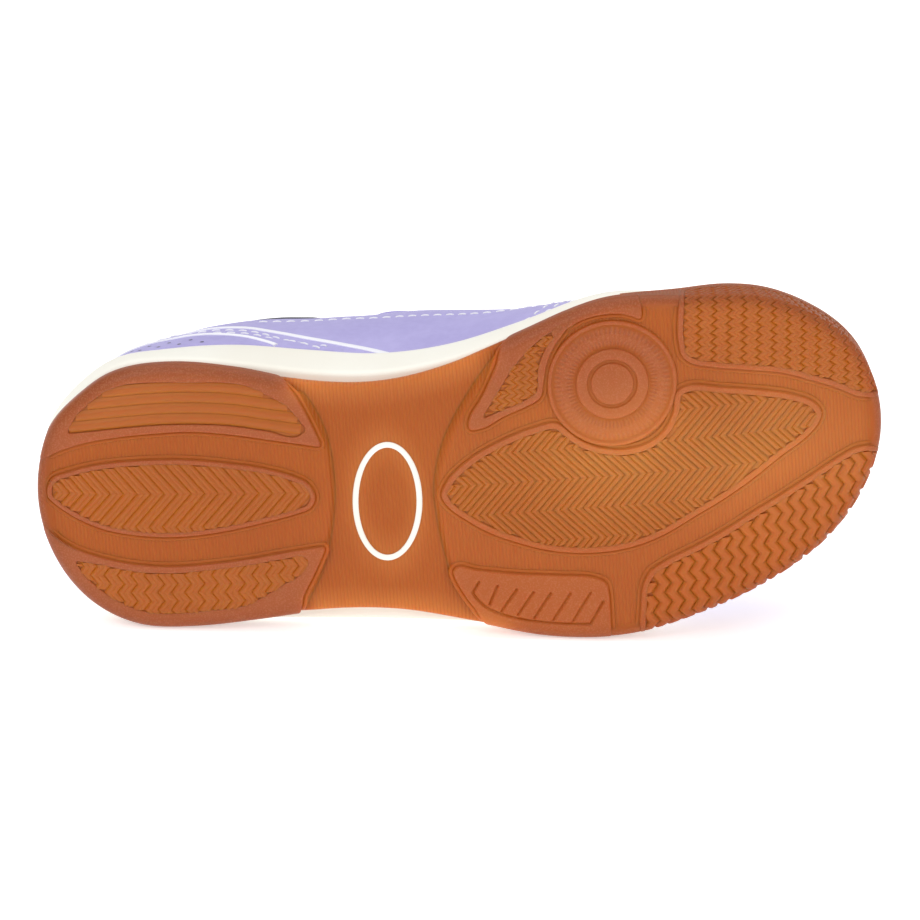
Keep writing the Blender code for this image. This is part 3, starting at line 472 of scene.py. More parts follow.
EDGE_TURNS = np.linspace(0, 2 * math.pi, 1440, endpoint=False)
EDGE = edge_of_sole(EDGE_TURNS)
EDGE_INWARD = -outward(EDGE_TURNS)
AT_ONCE = 2000              # points set against the edge at a time
WRAP_START = turn_at(LENGTH * WRAP_FROM_MEDIAL)
WRAP_END = 2 * math.pi - turn_at(LENGTH * WRAP_FROM_LATERAL)


def nearest_edge(points):
    """The closest point of the outsole's edge, the way in from it, and how far in the points lie."""
    nearest = np.concatenate([np.argmin(((part[:, None] - EDGE[None]) ** 2).sum(axis=2), axis=1)
                              for part in np.array_split(points, len(points) // AT_ONCE + 1)])
    edge, inward = EDGE[nearest], EDGE_INWARD[nearest]
    return edge, inward, ((points - edge) * inward).sum(axis=1)


def on_tread(points, lift):
    """Plan points carried on to the outsole: flat under the foot, rolled over its edge and on up the side.

    lift is 0 on the tread and less than 0 behind it.
    """
    points = np.asarray(points, dtype=float)
    _, inward, depth = nearest_edge(points)
    lift = np.broadcast_to(lift, depth.shape)
    arc = np.clip((EDGE_ROLL - depth) / EDGE_ROLL, 0, math.pi / 2)
    rolled = depth < EDGE_ROLL
    radius = EDGE_ROLL + lift
    climb = np.maximum(EDGE_ROLL - depth - EDGE_ROLL * math.pi / 2, 0)
    reach = np.where(rolled, EDGE_ROLL - radius * np.sin(arc), depth)
    height = np.where(rolled, EDGE_ROLL - radius * np.cos(arc) + climb, -lift)
    flat = points + inward * column(reach - depth)
    return raised(flat, tread(flat[:, 0]) + height)


def in_waist(x):
    """1 in the waist, 0 where the tread's blocks are."""
    return ease((x - WAIST_FROM) / WAIST_EASE_HEEL) * ease((WAIST_TO - x) / WAIST_EASE_FORE)


def wrap_share(turn):
    """0 away from the toe, 1 where the outsole is turned up round it."""
    return ease((turn - WRAP_START) / WRAP_EASE_MEDIAL) * ease((WRAP_END - turn) / WRAP_EASE_LATERAL)


def toe_overhang(turn):
    """How far past the edge the toe's blocks carry on."""
    return OVERHANG + (TOE_OVERHANG - OVERHANG) * wrap_share(turn % (2 * math.pi))


def wrap_reach(turn):
    """How far past the edge the turned-up toe carries on."""
    low = PLATE_TOP - WRAP_LOW
    return low + (WRAP_HIGH - low) * wrap_share(turn) - EDGE_ROLL * (2 - math.pi / 2)


# Making meshes

CRISP, PLAIN, FIRM, SOFT, ROUND = 35, 40, 50, 60, 70        # degrees up to which a fold is shaded smooth
MERGE_WITHIN, SLIVER = 2e-6, 1e-7                           # metres


def skin(rows, columns, closed=True):
    """Faces between neighbouring rows of a grid of points, each row that many columns long."""
    last = columns if closed else columns - 1
    r, c = np.meshgrid(np.arange(rows - 1), np.arange(last), indexing="ij")
    n = (c + 1) % columns
    return np.stack([r * columns + c, r * columns + n, (r + 1) * columns + n, (r + 1) * columns + c],
                    axis=-1).reshape(-1, 4)


def closed_skin(rows, columns):
    """The same, with the last row going back to the first."""
    back = np.mod(skin(2, columns) + (rows - 1) * columns, rows * columns)
    return np.concatenate([skin(rows, columns), back])


Form = namedtuple("Form", "points faces relief")


def relief_of(lift):
    """What the gum's finish goes by: 0 on the tread, 1 on the floor of the channels."""
    return np.clip(-np.asarray(lift) / CHANNEL_RISE, 0, 2)


def listed(faces):
    return faces.tolist() if isinstance(faces, np.ndarray) else faces


def joined(forms):
    """Several forms as one."""
    start, faces = 0, []
    for form in forms:
        faces += [[i + start for i in face] for face in listed(form.faces)]
        start += len(form.points)
    points = np.concatenate([form.points for form in forms])
    return Form(points, faces, np.concatenate([form.relief for form in forms]))


def ringed(loops, lifts, shut=True):
    """A band of loops, each with its lift. Shut, the last loop goes back to the first."""
    count = len(loops[0])
    faces = closed_skin(len(loops), count) if shut else skin(len(loops), count)
    relief = np.concatenate([np.broadcast_to(relief_of(lift), count) for lift in lifts])
    return Form(np.concatenate(loops), faces, relief)


def slab(front, back):
    """A sheet with thickness: two matching grids of points, and the band round their border."""
    rows, columns = front.shape[:2]
    half = rows * columns
    faces = skin(rows, columns, closed=False)
    border = np.concatenate([np.arange(columns), np.arange(1, rows) * columns + columns - 1,
                             (rows - 1) * columns + np.arange(columns - 2, -1, -1),
                             np.arange(rows - 2, 0, -1) * columns])
    after = np.roll(border, -1)
    band = np.stack([border, border + half, after + half, after], axis=-1)
    points = np.concatenate([front.reshape(-1, 3), back.reshape(-1, 3)])
    return Form(points, np.concatenate([faces, faces[:, ::-1] + half, band]), np.zeros(len(points)))


def tube(grid):
    """A closed form from rows of points, each row once round it."""
    rows, count = grid.shape[:2]
    faces = skin(rows, count).tolist()
    faces += [list(range(count)), list(range(rows * count - 1, (rows - 1) * count - 1, -1))]
    return Form(grid.reshape(-1, 3), faces, np.zeros(rows * count))


def from_middle(flat, along_it, across, half_along, half_across):
    """How far out from the middle of an oval, 1 being its edge."""
    return np.hypot((flat[:, 0] - along_it) / half_along, (flat[:, 1] - across) / half_across)


def painted_light_at(points):
    """Painted light on the gum: above 0 a painted glow where it is thin and light comes through, below 0
    painted shade at its other edges.
    """
    flat = np.asarray(points)[:, :2]
    depth = np.maximum(nearest_edge(flat)[2], 0)
    waist = in_waist(flat[:, 0])
    off_oval = from_middle(flat, OVAL_ALONG, OVAL_ACROSS, OVAL_HALF_WIDTH, OVAL_HALF_LENGTH) - 1
    toe = from_middle(flat, TOE_GLOW_ALONG, TOE_GLOW_ACROSS, TOE_GLOW_LONG, TOE_GLOW_WIDE)
    at_waist = waist * np.maximum(bell(depth / GLOW_EDGE), GLOW_OVAL * bell(off_oval / GLOW_OVAL_WIDE))
    return np.maximum(at_waist, GLOW_TOE * bell(toe)) - (1 - waist) * bell(depth / EDGE_SHADE_REACH)


def set_values(mesh, name, values):
    """A number for each point of a mesh, for the finish to read."""
    held = mesh.attributes.new(name, "FLOAT", "POINT")
    held.data.foreach_set("value", np.asarray(values, dtype=np.float32))


def piece(name, form, finish, slot, nodes=(), smooth=PLAIN, merge=True):
    """An object of the shoe from a form, with its finish, riding on the frame."""
    mesh = bpy.data.meshes.new(name)
    mesh.from_pydata(place(form.points).tolist(), [], listed(form.faces))
    set_values(mesh, "relief", form.relief)
    # painted glow and painted shade, for the gum's finish to read
    if slot == "gum":
        set_values(mesh, "painted_light", painted_light_at(form.points))
    corners = np.empty(len(mesh.loops), dtype=np.int32)
    mesh.loops.foreach_get("vertex_index", corners)
    flat = (np.asarray(form.points)[:, :2] / LENGTH)[corners]
    mesh.uv_layers.new(name="plan").data.foreach_set("uv", flat.astype(np.float32).ravel())
    work = bmesh.new()
    work.from_mesh(mesh)
    if merge:
        bmesh.ops.remove_doubles(work, verts=work.verts, dist=MERGE_WITHIN)
        bmesh.ops.dissolve_degenerate(work, edges=work.edges, dist=SLIVER)
    bmesh.ops.recalc_face_normals(work, faces=work.faces)
    work.to_mesh(mesh)
    work.free()
    obj = bpy.data.objects.new(name, mesh)
    bpy.context.scene.collection.objects.link(obj)
    return dress(obj, finish, nodes, smooth)


def only(obj):
    bpy.ops.object.select_all(action="DESELECT")
    obj.select_set(True)
    bpy.context.view_layer.objects.active = obj


def dress(obj, finish, nodes=(), smooth=PLAIN):
    """Finish, shading and the frame's facts of one piece."""
    obj.data.materials.clear()
    obj.data.materials.append(finish)
    only(obj)
    bpy.ops.object.shade_smooth_by_angle(angle=math.radians(smooth))
    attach(obj, "root")
    if nodes:
        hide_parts(*nodes)
    return obj


def apply_all(obj):
    only(obj)
    for change in list(obj.modifiers):
        bpy.ops.object.modifier_apply(modifier=change.name)


# Finishes

FINE_LINES = 0.85       # from one to the next of the fine lines across the channels and the waist


class Flow:
    """A socket in a finish. Arithmetic on it adds Math nodes, and node() adds any other kind."""

    def __init__(self, socket):
        self.socket = socket

    def node(self, kind, sockets=None, output=0, **settings):
        tree = self.socket.id_data
        made = tree.nodes.new("ShaderNode" + kind)
        for name, value in settings.items():
            setattr(made, name, value)
        for name, value in (sockets or {}).items():
            if isinstance(value, Flow):
                tree.links.new(value.socket, made.inputs[name])
            else:
                made.inputs[name].default_value = value
        return Flow(made.outputs[output])

    def math(self, operation, a, b=0.0):
        return self.node("Math", {0: a, 1: b}, operation=operation)

    def __add__(self, other):
        return self.math("ADD", self, other)

    __radd__ = __add__

    def __sub__(self, other):
        return self.math("SUBTRACT", self, other)

    def __rsub__(self, other):
        return self.math("SUBTRACT", other, self)

    def __mul__(self, other):
        return self.math("MULTIPLY", self, other)

    __rmul__ = __mul__

    def within(self, low, high):
        """0 to 1 as the value goes from low to high, softly."""
        return self.node("MapRange", {"Value": self, "From Min": low, "From Max": high},
                         interpolation_type="SMOOTHSTEP")

    def noise(self, scale, detail=3.0, rough=0.5):
        return self.node("TexNoise", {"Vector": self, "Scale": scale, "Detail": detail, "Roughness": rough})

    def blend(self, low, high):
        """From one colour to another as the value goes from 0 to 1."""
        return self.node("Mix", {0: self, 6: low, 7: high}, output=2, data_type="RGBA")

    def bump(self, strength, distance, under=None):
        sockets = {"Height": self, "Strength": strength, "Distance": distance}
        if under:
            sockets["Normal"] = under
        return self.node("Bump", sockets)


def paint(red, green, blue):
    """A colour as seen on screen, 0 to 255, made ready for a shader."""
    return tuple(((c / 255 + 0.055) / 1.055) ** 2.4 for c in (red, green, blue)) + (1.0,)


def finish(name, build, **constants):
    """A finish: build takes the coordinates and gives the sockets that vary, the constants are set."""
    material = bpy.data.materials.new(name)
    material.use_nodes = True
    tree = material.node_tree
    shader = tree.nodes["Principled BSDF"]
    for socket, value in constants.items():
        shader.inputs[socket.replace("_", " ")].default_value = value
    where = tree.nodes.new("ShaderNodeTexCoord")
    for socket, flow in build(Flow(where.outputs["Object"]), Flow(where.outputs["UV"])).items():
        tree.links.new(flow.socket, shader.inputs[socket])
    return material


GUM_RAISED, GUM_FLOOR = paint(161, 84, 42), paint(172, 85, 12)
# the ribs' grooves are painted a brighter orange: painted glow of light through the thin rubber, lifting
# their shade
GUM_CREST, GUM_GROOVE_GLOW = paint(178, 93, 32), paint(206, 100, 12)
# painted light of the gum: a glow where light comes through it, and shade at its edges
GUM_PAINTED_GLOW, GUM_PAINTED_SHADE = paint(212, 127, 56), paint(122, 58, 24)
GUM_PATCH, GUM_CLOUD = paint(188, 99, 30), paint(160, 76, 22)
GUM_SPECK, GUM_LINE = paint(200, 130, 94), paint(146, 66, 10)


def gum_rubber(where, flat):
    relief, painted_light = (where.node("Attribute", output=2, attribute_name=name) for name in ("relief", "painted_light"))
    x = flat.node("SeparateXYZ", {0: flat}) * LENGTH
    cloud, patch = where.noise(30, 3), where.noise(13, 2)
    floor, ribbed = relief.within(0.1, 0.8), relief.within(RIB_RELIEF - 0.6, RIB_RELIEF - 0.2)
    # the ribs' groove bottoms get the painted glow, brighter than the crests where their shade falls
    groove_glow = relief.within(RIB_RELIEF + 0.1, RIB_RELIEF + 0.95)
    colour = floor.blend(GUM_RAISED, GUM_FLOOR)
    colour = ribbed.blend(colour, groove_glow.blend(GUM_CREST, GUM_GROOVE_GLOW))
    colour = (patch.within(0.42, 0.68) * 0.5).blend(colour, GUM_PATCH)
    # painted glow where light comes through the gum, then painted shade at its edges
    colour = (painted_light * 0.8).blend(colour, GUM_PAINTED_GLOW)
    colour = (painted_light * -0.6).blend(colour, GUM_PAINTED_SHADE)
    colour = (cloud.within(0.3, 0.75) * 0.35).blend(colour, GUM_CLOUD)
    speck = where.noise(2600, 1).within(0.45, 0.7) * (1 - floor)
    colour = (speck * 0.22).blend(colour, GUM_SPECK)
    lines = where.math("SINE", x * (2 * math.pi / FINE_LINES))
    lines = lines * relief.within(0.85, 0.97) * (1 - relief.within(2.8, 3.2))
    colour = (lines.within(0.1, 1.0) * 0.22).blend(colour, GUM_LINE)
    grain = where.noise(1500, 2)
    normal = (lines * 0.5 + grain * 0.3).bump(0.4, 0.0002)
    return {"Base Color": colour, "Roughness": cloud * 0.14 + 0.36 + speck * 0.1, "Normal": normal}


def cream_foam(where, flat):
    cloud, grain = where.noise(40, 3), where.noise(2200, 2)
    return {"Base Color": cloud.within(0.3, 0.8).blend(paint(248, 246, 236), paint(242, 238, 226)),
            "Roughness": cloud * 0.15 + 0.45, "Normal": grain.bump(0.25, 0.0001)}


def lilac_nubuck(light, dark):
    def build(where, flat):
        cloud, nap, grain = where.noise(45, 4), where.noise(420, 3, 0.6), where.noise(1900, 3, 0.65)
        shade = cloud.within(0.3, 0.75) * 0.6 + nap.within(0.3, 0.7) * 0.4
        return {"Base Color": shade.blend(paint(*dark), paint(*light)), "Roughness": nap * 0.2 + 0.6,
                "Normal": grain.bump(0.35, 0.00015, nap.bump(0.15, 0.0003))}
    return build


def knit_lining(where, flat):
    cells = where.node("TexVoronoi", {"Vector": where, "Scale": 900.0})
    cloud = where.noise(60, 3)
    colour = (cells * 0.8 + cloud * 0.3).blend(paint(38, 38, 44), paint(70, 70, 80))
    return {"Base Color": colour, "Roughness": cells * 0.1 + 0.8, "Normal": cells.bump(0.6, 0.0004)}


def woven_lace(where, flat):
    weave = where.node("TexWave", {"Vector": where, "Scale": 330.0, "Distortion": 1.5, "Detail": 2.0},
                       output=1, bands_direction="DIAGONAL")
    return {"Base Color": weave.blend(paint(214, 210, 232), paint(240, 239, 248)),
            "Roughness": weave * 0.1 + 0.75, "Normal": weave.bump(0.5, 0.0003)}


def painted_metal(where, flat):
    cloud = where.noise(500, 3)
    return {"Base Color": cloud.blend(paint(150, 144, 196), paint(172, 166, 214)),
            "Roughness": cloud * 0.2 + 0.3, "Normal": cloud.bump(0.1, 0.0001)}


def white_thread(where, flat):
    twist = where.noise(2500, 2)
    return {"Base Color": twist.blend(paint(226, 226, 236), paint(250, 250, 252)),
            "Roughness": twist * 0.1 + 0.7, "Normal": twist.bump(0.4, 0.0001)}


def white_trim(where, flat):
    cloud, grain = where.noise(60, 3), where.noise(1800, 2)
    return {"Base Color": cloud.within(0.3, 0.8).blend(paint(247, 247, 252), paint(238, 238, 246)),
            "Roughness": cloud * 0.15 + 0.4, "Normal": grain.bump(0.2, 0.0001)}


GUM = finish("gum rubber", gum_rubber, Subsurface_Weight=0.5, Subsurface_Radius=(1.0, 0.35, 0.1),
             Subsurface_Scale=0.003, Specular_IOR_Level=0.28)
FOAM = finish("cream foam", cream_foam, Specular_IOR_Level=0.35)
NAP = {"Sheen_Weight": 0.15, "Sheen_Roughness": 0.5, "Specular_IOR_Level": 0.3}
NUBUCK = finish("lilac nubuck", lilac_nubuck((183, 176, 226), (168, 160, 214)), **NAP)
NUBUCK_LAID = finish("lilac nubuck laid on", lilac_nubuck((180, 173, 223), (164, 156, 210)), **NAP)
KNIT = finish("charcoal knit", knit_lining, Sheen_Weight=0.2)
LACING = finish("woven lace", woven_lace)
EYELET_PAINT = finish("painted eyelet", painted_metal, Metallic=0.6)
THREAD = finish("white thread", white_thread)
TRIM = finish("white trim", white_trim, Specular_IOR_Level=0.4)


# Outsole

def resampled(points, count, closed=False):
    """Points at even distances along a line."""
    line = np.concatenate([points, points[:1]]) if closed else points
    run = run_along(line)
    at = np.linspace(0, run[-1], count, endpoint=not closed)
    return np.stack([np.interp(at, run, line[:, i]) for i in range(line.shape[1])], axis=-1)


Station = namedtuple("Station", "at x y")


def curve(points, steps=12):
    """A smooth line through points."""
    points = np.asarray(points, dtype=float)
    if len(points) < 3:
        return points
    stations = [Station(at, *point) for at, point in zip(run_along(points), points)]
    at = np.linspace(0, stations[-1].at, steps * len(points))
    return np.stack([along(stations, name, at) for name in ("x", "y")], axis=-1)


def blurred(points, reach):
    """A closed line with its corners softened over that many points."""
    offsets = np.arange(-3 * reach, 3 * reach + 1)
    weights = np.exp(-(offsets / reach) ** 2 / 2)
    return sum(w * np.roll(points, -o, axis=0) for w, o in zip(weights / weights.sum(), offsets))


def side_line(side, way, out):
    """One side of a block in plan. At the outsole's edge it lies that far past it, or as the toe does."""
    stretches, places = [], []
    for step in side:
        if isinstance(step, At):
            places.append(step)
            continue
        first, last = way * turn_at(step.first), way * turn_at(step.last)
        stretches += [curve(places)] if places else []
        turns = np.linspace(first, last, int(step.last - step.first) + 24)
        stretches.append(plan(turns, toe_overhang(turns) if out is None else out))
        places = []
    return np.concatenate(stretches + ([curve(places)] if places else []))


FINE = 0.2          # spacing at which outlines are softened
CLEAR = 0.96        # share of its move that a point has to keep from the outline it was moved from


def block_outline(block, out, count=360, soften=0.8):
    """A block's outline: half of the points out along the medial side, half back along the lateral."""
    medial, lateral = side_line(block.medial, 1, out), side_line(block.lateral, -1, out)
    heel, toe = (medial[0] + lateral[0]) / 2, (medial[-1] + lateral[-1]) / 2
    whole = np.concatenate([heel[None], medial, toe[None], lateral[::-1]])
    length = np.linalg.norm(np.diff(whole, axis=0, append=whole[:1]), axis=1).sum()
    soft = blurred(resampled(whole, int(length / FINE), closed=True), int(soften / FINE))
    soft = np.roll(soft, -int(np.argmin(((soft - heel) ** 2).sum(axis=1))), axis=0)
    middle = int(np.argmin(((soft - toe) ** 2).sum(axis=1)))
    there = resampled(soft[:middle + 1], count // 2 + 1)
    back = resampled(np.concatenate([soft[middle:], soft[:1]]), count // 2 + 1)
    return np.concatenate([there[:-1], back[:-1]])


def inset(outline, width):
    """The outline moved inwards, with the folds at its corners taken out."""
    if not width:
        return outline
    run = unit(np.roll(outline, -1, axis=0) - np.roll(outline, 1, axis=0))
    moved = outline + np.stack([-run[:, 1], run[:, 0]], axis=-1) * width
    away = np.sqrt(((moved[:, None] - outline[None]) ** 2).sum(axis=2)).min(axis=1)
    good = np.flatnonzero(away > CLEAR * abs(width))
    at = np.arange(len(outline))
    return np.stack([np.interp(at, good, line, period=len(outline)) for line in moved[good].T], axis=-1)


def recess_outline(name):
    """The outline of the sunk part of a block."""
    if name in RECESSES:
        return block_outline(RECESSES[name], 0.0, soften=0.6)
    return inset(block_outline(BLOCKS[name], None), RIMS[name])


# Sections of edges: how far in from the outline, and lift
BLOCK_EDGE = [(-1.25, -1.2), (-1.12, -0.92), (-0.95, -0.72), (-0.5, -0.68), (-0.26, -0.86), (-0.12, -0.8),
              (0.0, -0.3), (0.1, -0.09), (0.36, 0.0)]
RECESS_EDGE = [(-0.34, 0.0), (-0.06, -0.12), (0.04, -0.5), (0.14, -1.1)]
PLATFORM_EDGE = [(-1.1, -2.75), (-0.9, -2.5), (-0.2, -1.95), (0.4, -1.2)]
RIM_ROWS = 14
PLATFORM_ROWS = np.arange(1.0, 7.5, 0.5)
PLATFORM_OUT = 3.4


def edge_rows(outline, section, sunk=0.0):
    """Loops in plan along an edge, each with its lift."""
    return [(inset(outline, inwards), lift - sunk) for inwards, lift in section]


def tread_band(rows, shut=False):
    """Loops in plan, each with its lift, as a band on the tread."""
    return ringed([on_tread(flat, lift) for flat, lift in rows], [lift for _, lift in rows], shut)


def rim_band(outer, inner):
    """The raised rim between a block's outline and that of its recess."""
    rows, last = edge_rows(outer, BLOCK_EDGE), edge_rows(inner, RECESS_EDGE)
    first, end = rows[-1][0], last[0][0]
    rows += [(first + (end - first) * share, 0.0) for share in np.linspace(0, 1, RIM_ROWS)[1:-1]]
    return tread_band(rows + last, shut=True)


def filled(outline, lift, across=48):
    """The area inside an outline, as rows from its medial half to its lateral. lift gives its height."""
    half = len(outline) // 2
    medial, lateral = outline[:half + 1], np.concatenate([outline[half:], outline[:1]])[::-1]
    share = np.linspace(0, 1, across)[:, None, None]
    flat = (medial[None] * (1 - share) + lateral[None] * share).reshape(-1, 2)
    heights = lift(flat)
    return Form(on_tread(flat, heights), skin(across, half + 1, closed=False), relief_of(heights))


def recess_floor(name, recess):
    """The floor of a recess, just under the ribs' grooves."""
    deep = max([LONG_DEEP] + [ribs.deep for ribs in RIBS if ribs.block == name]) + FLOOR_UNDER_RIBS
    floor = filled(inset(recess, FLOOR_INSET), lambda flat: np.full(len(flat), -deep), across=10)
    return floor._replace(relief=np.full(len(floor.points), RIB_RELIEF + FLOOR_RELIEF))


def channel_lift(flat, wrapped):
    """Floor of the channels. It comes up at the outsole's edge, but not under the toe's ribs."""
    depth = nearest_edge(flat)[2]
    under = np.any([inside(flat, recess) for recess in wrapped], axis=0)
    at_edge = CHANNEL_AT_EDGE + (1 - CHANNEL_AT_EDGE) * ease((depth - CHANNEL_EDGE) / CHANNEL_EASE)
    return -CHANNEL_RISE * np.where(under, 1.0, at_edge)


def platform(block, wrapped):
    """Raised floor of the tread under the heel or the forefoot, level with its channels."""
    outline = block_outline(block, PLATFORM_OUT, soften=1.6)
    loops = [inset(outline, inwards) for inwards in PLATFORM_ROWS]
    rows = edge_rows(outline, PLATFORM_EDGE) + [(flat, channel_lift(flat, wrapped)) for flat in loops]
    return joined([tread_band(rows), filled(loops[-1], lambda flat: channel_lift(flat, wrapped))])


def from_line(points, line):
    """How far points are from a line of straight stretches."""
    line = np.asarray(line, dtype=float)
    nearest = np.full(len(points), np.inf)
    for a, b in zip(line, line[1:]):
        t = np.clip(((points - a) @ (b - a)) / ((b - a) @ (b - a)), 0, 1)
        nearest = np.minimum(nearest, np.linalg.norm(points - a - column(t) * (b - a), axis=1))
    return nearest


def padded_block(name, lines=(), sunk=0.0):
    """A smooth block without a recess, with narrow grooves along lines. sunk keeps it under its neighbour."""
    rows = edge_rows(block_outline(BLOCKS[name], OVERHANG), BLOCK_EDGE, sunk)

    def lift(flat):
        near = [from_line(flat, line) for line in lines] or [np.full(len(flat), GROOVE_HALF)]
        return -GROOVE_DEEP * (1 - ease(np.min(near, axis=0) / GROOVE_HALF)) - sunk
    return joined([tread_band(rows), filled(rows[-1][0], lift, across=80)])


def inside(points, loop):
    (ax, ay), (bx, by) = loop.T, np.roll(loop, -1, axis=0).T
    x, y = points[:, :1], points[:, 1:]
    level = np.where(by == ay, 1e-12, by - ay)
    crossing = ((ay > y) != (by > y)) & (x < ax + (y - ay) * (bx - ax) / level)
    return crossing.sum(axis=1) % 2 == 1


def rib(middle, sideways, bound, crest, foot, deep, sipe=0.0):
    """One rib along a line, as the stretches of it that lie inside the recess."""
    half = [(foot, -deep), (crest + RIB_EDGE / 2, RIB_EDGE_LIFT), (crest - RIB_EDGE, RIB_CREST_LIFT)]
    half += [(SIPE_HALF, RIB_CREST_LIFT)] if sipe else []
    profile = [(-out, lift) for out, lift in half] + ([(0.0, -sipe)] if sipe else []) + half[::-1]
    kept = np.flatnonzero(inside(middle, bound))
    forms = []
    for run in np.split(kept, np.flatnonzero(np.diff(kept) > 1) + 1):
        if len(run) < 2:
            continue
        ways = np.broadcast_to(sideways, middle.shape)[run]
        grid = np.stack([on_tread(middle[run] + ways * shift, lift) for shift, lift in profile], axis=1)
        relief = np.tile([RIB_RELIEF - lift / deep for _, lift in profile], len(run))
        forms.append(tube(grid)._replace(relief=relief))
    return forms


def zigzag_ribs(ribs, bound):
    """The ribs of one recess, each along a zigzag."""
    aim = math.radians(ribs.aim)
    forward, sideways = np.array([math.cos(aim), math.sin(aim)]), np.array([-math.sin(aim), math.cos(aim)])
    spread = np.abs(bound - np.array(ribs.point)).sum(axis=1).max()
    step = ribs.half / math.ceil(ribs.half / RIB_STEP)
    reach = np.arange(-math.ceil(spread / step), math.ceil(spread / step) + 1) * step
    wave = np.abs(np.mod(reach / ribs.half, 2) - 1) * ribs.half * ribs.slope
    forms = []
    for k in range(-int(spread / ribs.pitch) - 3, int(spread / ribs.pitch) + 4):
        middle = np.array(ribs.point) + column(k * ribs.pitch + wave) * forward + column(reach) * sideways
        forms += rib(middle, forward, bound, ribs.crest, ribs.foot, ribs.deep, ribs.sipe)
    return forms


def long_ribs(bound):
    """Ribs along the heel's medial block, side by side with the inner side of its recess."""
    line = resampled(side_line(RECESSES["heel_medial"].lateral[:-1], -1, 0.0), 160)
    run = unit(np.gradient(line, axis=0))
    inward = np.stack([run[:, 1], -run[:, 0]], axis=-1)
    return [form for offset in LONG_RIBS
            for form in rib(line + inward * offset, inward, bound, LONG_CREST, LONG_FOOT, LONG_DEEP)]


def pivot():
    """Rings of the pivot point under the ball of the foot, with knurled slopes on the largest."""
    angles = np.linspace(0, 2 * math.pi, PIVOT_KNURLS * 4, endpoint=False)
    around = np.stack([np.cos(angles), np.sin(angles)], axis=-1)
    knurl = KNURL * np.sign(np.cos(angles * PIVOT_KNURLS + KNURL_SHIFT))
    centre = np.array([PIVOT_ALONG, PIVOT_ACROSS])
    loops = [on_tread(centre + around * row.radius, row.lift + knurl * row.knurled) for row in PIVOT]
    return ringed(loops, [row.lift for row in PIVOT], shut=False)


def oval_place(angle, out):
    x, y = (OVAL_HALF_WIDTH + out) * np.cos(angle), (OVAL_HALF_LENGTH + out) * np.sin(angle)
    return np.stack([OVAL_ALONG + x * math.cos(OVAL_TILT) - y * math.sin(OVAL_TILT),
                     OVAL_ACROSS + x * math.sin(OVAL_TILT) + y * math.cos(OVAL_TILT)], axis=-1)


def waist_band():
    """The pale oval band let into the waist, standing a little proud of it."""
    angles = np.linspace(0, 2 * math.pi, 120, endpoint=False)
    half = OVAL_BAND / 2
    side = [(half, -OVAL_SUNK), (half, OVAL_EDGE), (half - OVAL_ROUND, OVAL_SHOULDER)]
    profile = [(-out, rise) for out, rise in side] + [(0, OVAL_PROUD)] + side[::-1]
    loops = [on_tread(oval_place(angles, out), rise - WAIST_RISE) for out, rise in profile]
    return ringed(loops, [0] * len(profile))


SOLE_TURNS = np.linspace(0, 2 * math.pi, 480, endpoint=False)


def sole_loop(reach, out, height):
    """A loop of points, that share of the way from the spine to out past the edge of the sole."""
    middle = spine(SOLE_TURNS)
    flat = middle + reach * (plan(SOLE_TURNS, out) - middle)
    return raised(flat, height(flat[:, 0]))


# Section of the plate. Its side: out from the sole's edge, and rise from the waist's floor. Its lip: reach,
# out, and rise from its top.
PLATE_SIDE = [(-6.0, 0.0), (-3.0, -0.02), (-1.6, -0.06), (-0.7, 0.06), (-0.2, 0.35), (0.0, 0.9), (0.0, 1.8)]
PLATE_LIP = [(1.0, -0.25, -1.2), (1.0, -0.9, 0.0), (0.6, -0.9, 0.0), (0.0, -0.9, 0.0)]


def outsole_plate():
    """The plate under the whole shoe. Its side shows in the waist and between the blocks."""
    tucked = SIDE_TUCK * (1 - in_waist(LENGTH * share_at(SOLE_TURNS))) + TOE_TUCK * wrap_share(SOLE_TURNS)
    rows = [(reach, PLATE_SIDE[0][0], WAIST_RISE) for reach in np.linspace(0, 1, 14)[:-1]]
    rows += [(1.0, out, WAIST_RISE + rise) for out, rise in PLATE_SIDE]
    rows += [(reach, out, PLATE_TOP + rise) for reach, out, rise in PLATE_LIP]
    loops = [sole_loop(reach, out - tucked, lambda x, rise=rise: tread(x) + rise)
             for reach, out, rise in rows]
    return ringed(loops, [-rise for _, _, rise in rows], shut=False)


def toe_wrap(wrapped):
    """The skin that carries the toe's ribs and channels up round the front."""
    turn, part = np.meshgrid(np.linspace(WRAP_START, WRAP_END, 240), np.linspace(0, 1, 30), indexing="ij")
    flat = plan(turn.ravel(), (-WRAP_INNER + (wrap_reach(turn) + WRAP_INNER) * part).ravel())
    lift = channel_lift(flat, wrapped) - WRAP_SUNK
    front, back = (on_tread(flat, lift - behind).reshape(*turn.shape, 3) for behind in (0.0, WRAP_THICK))
    sheet = slab(front, back)
    return sheet._replace(relief=np.ones(len(sheet.points)))


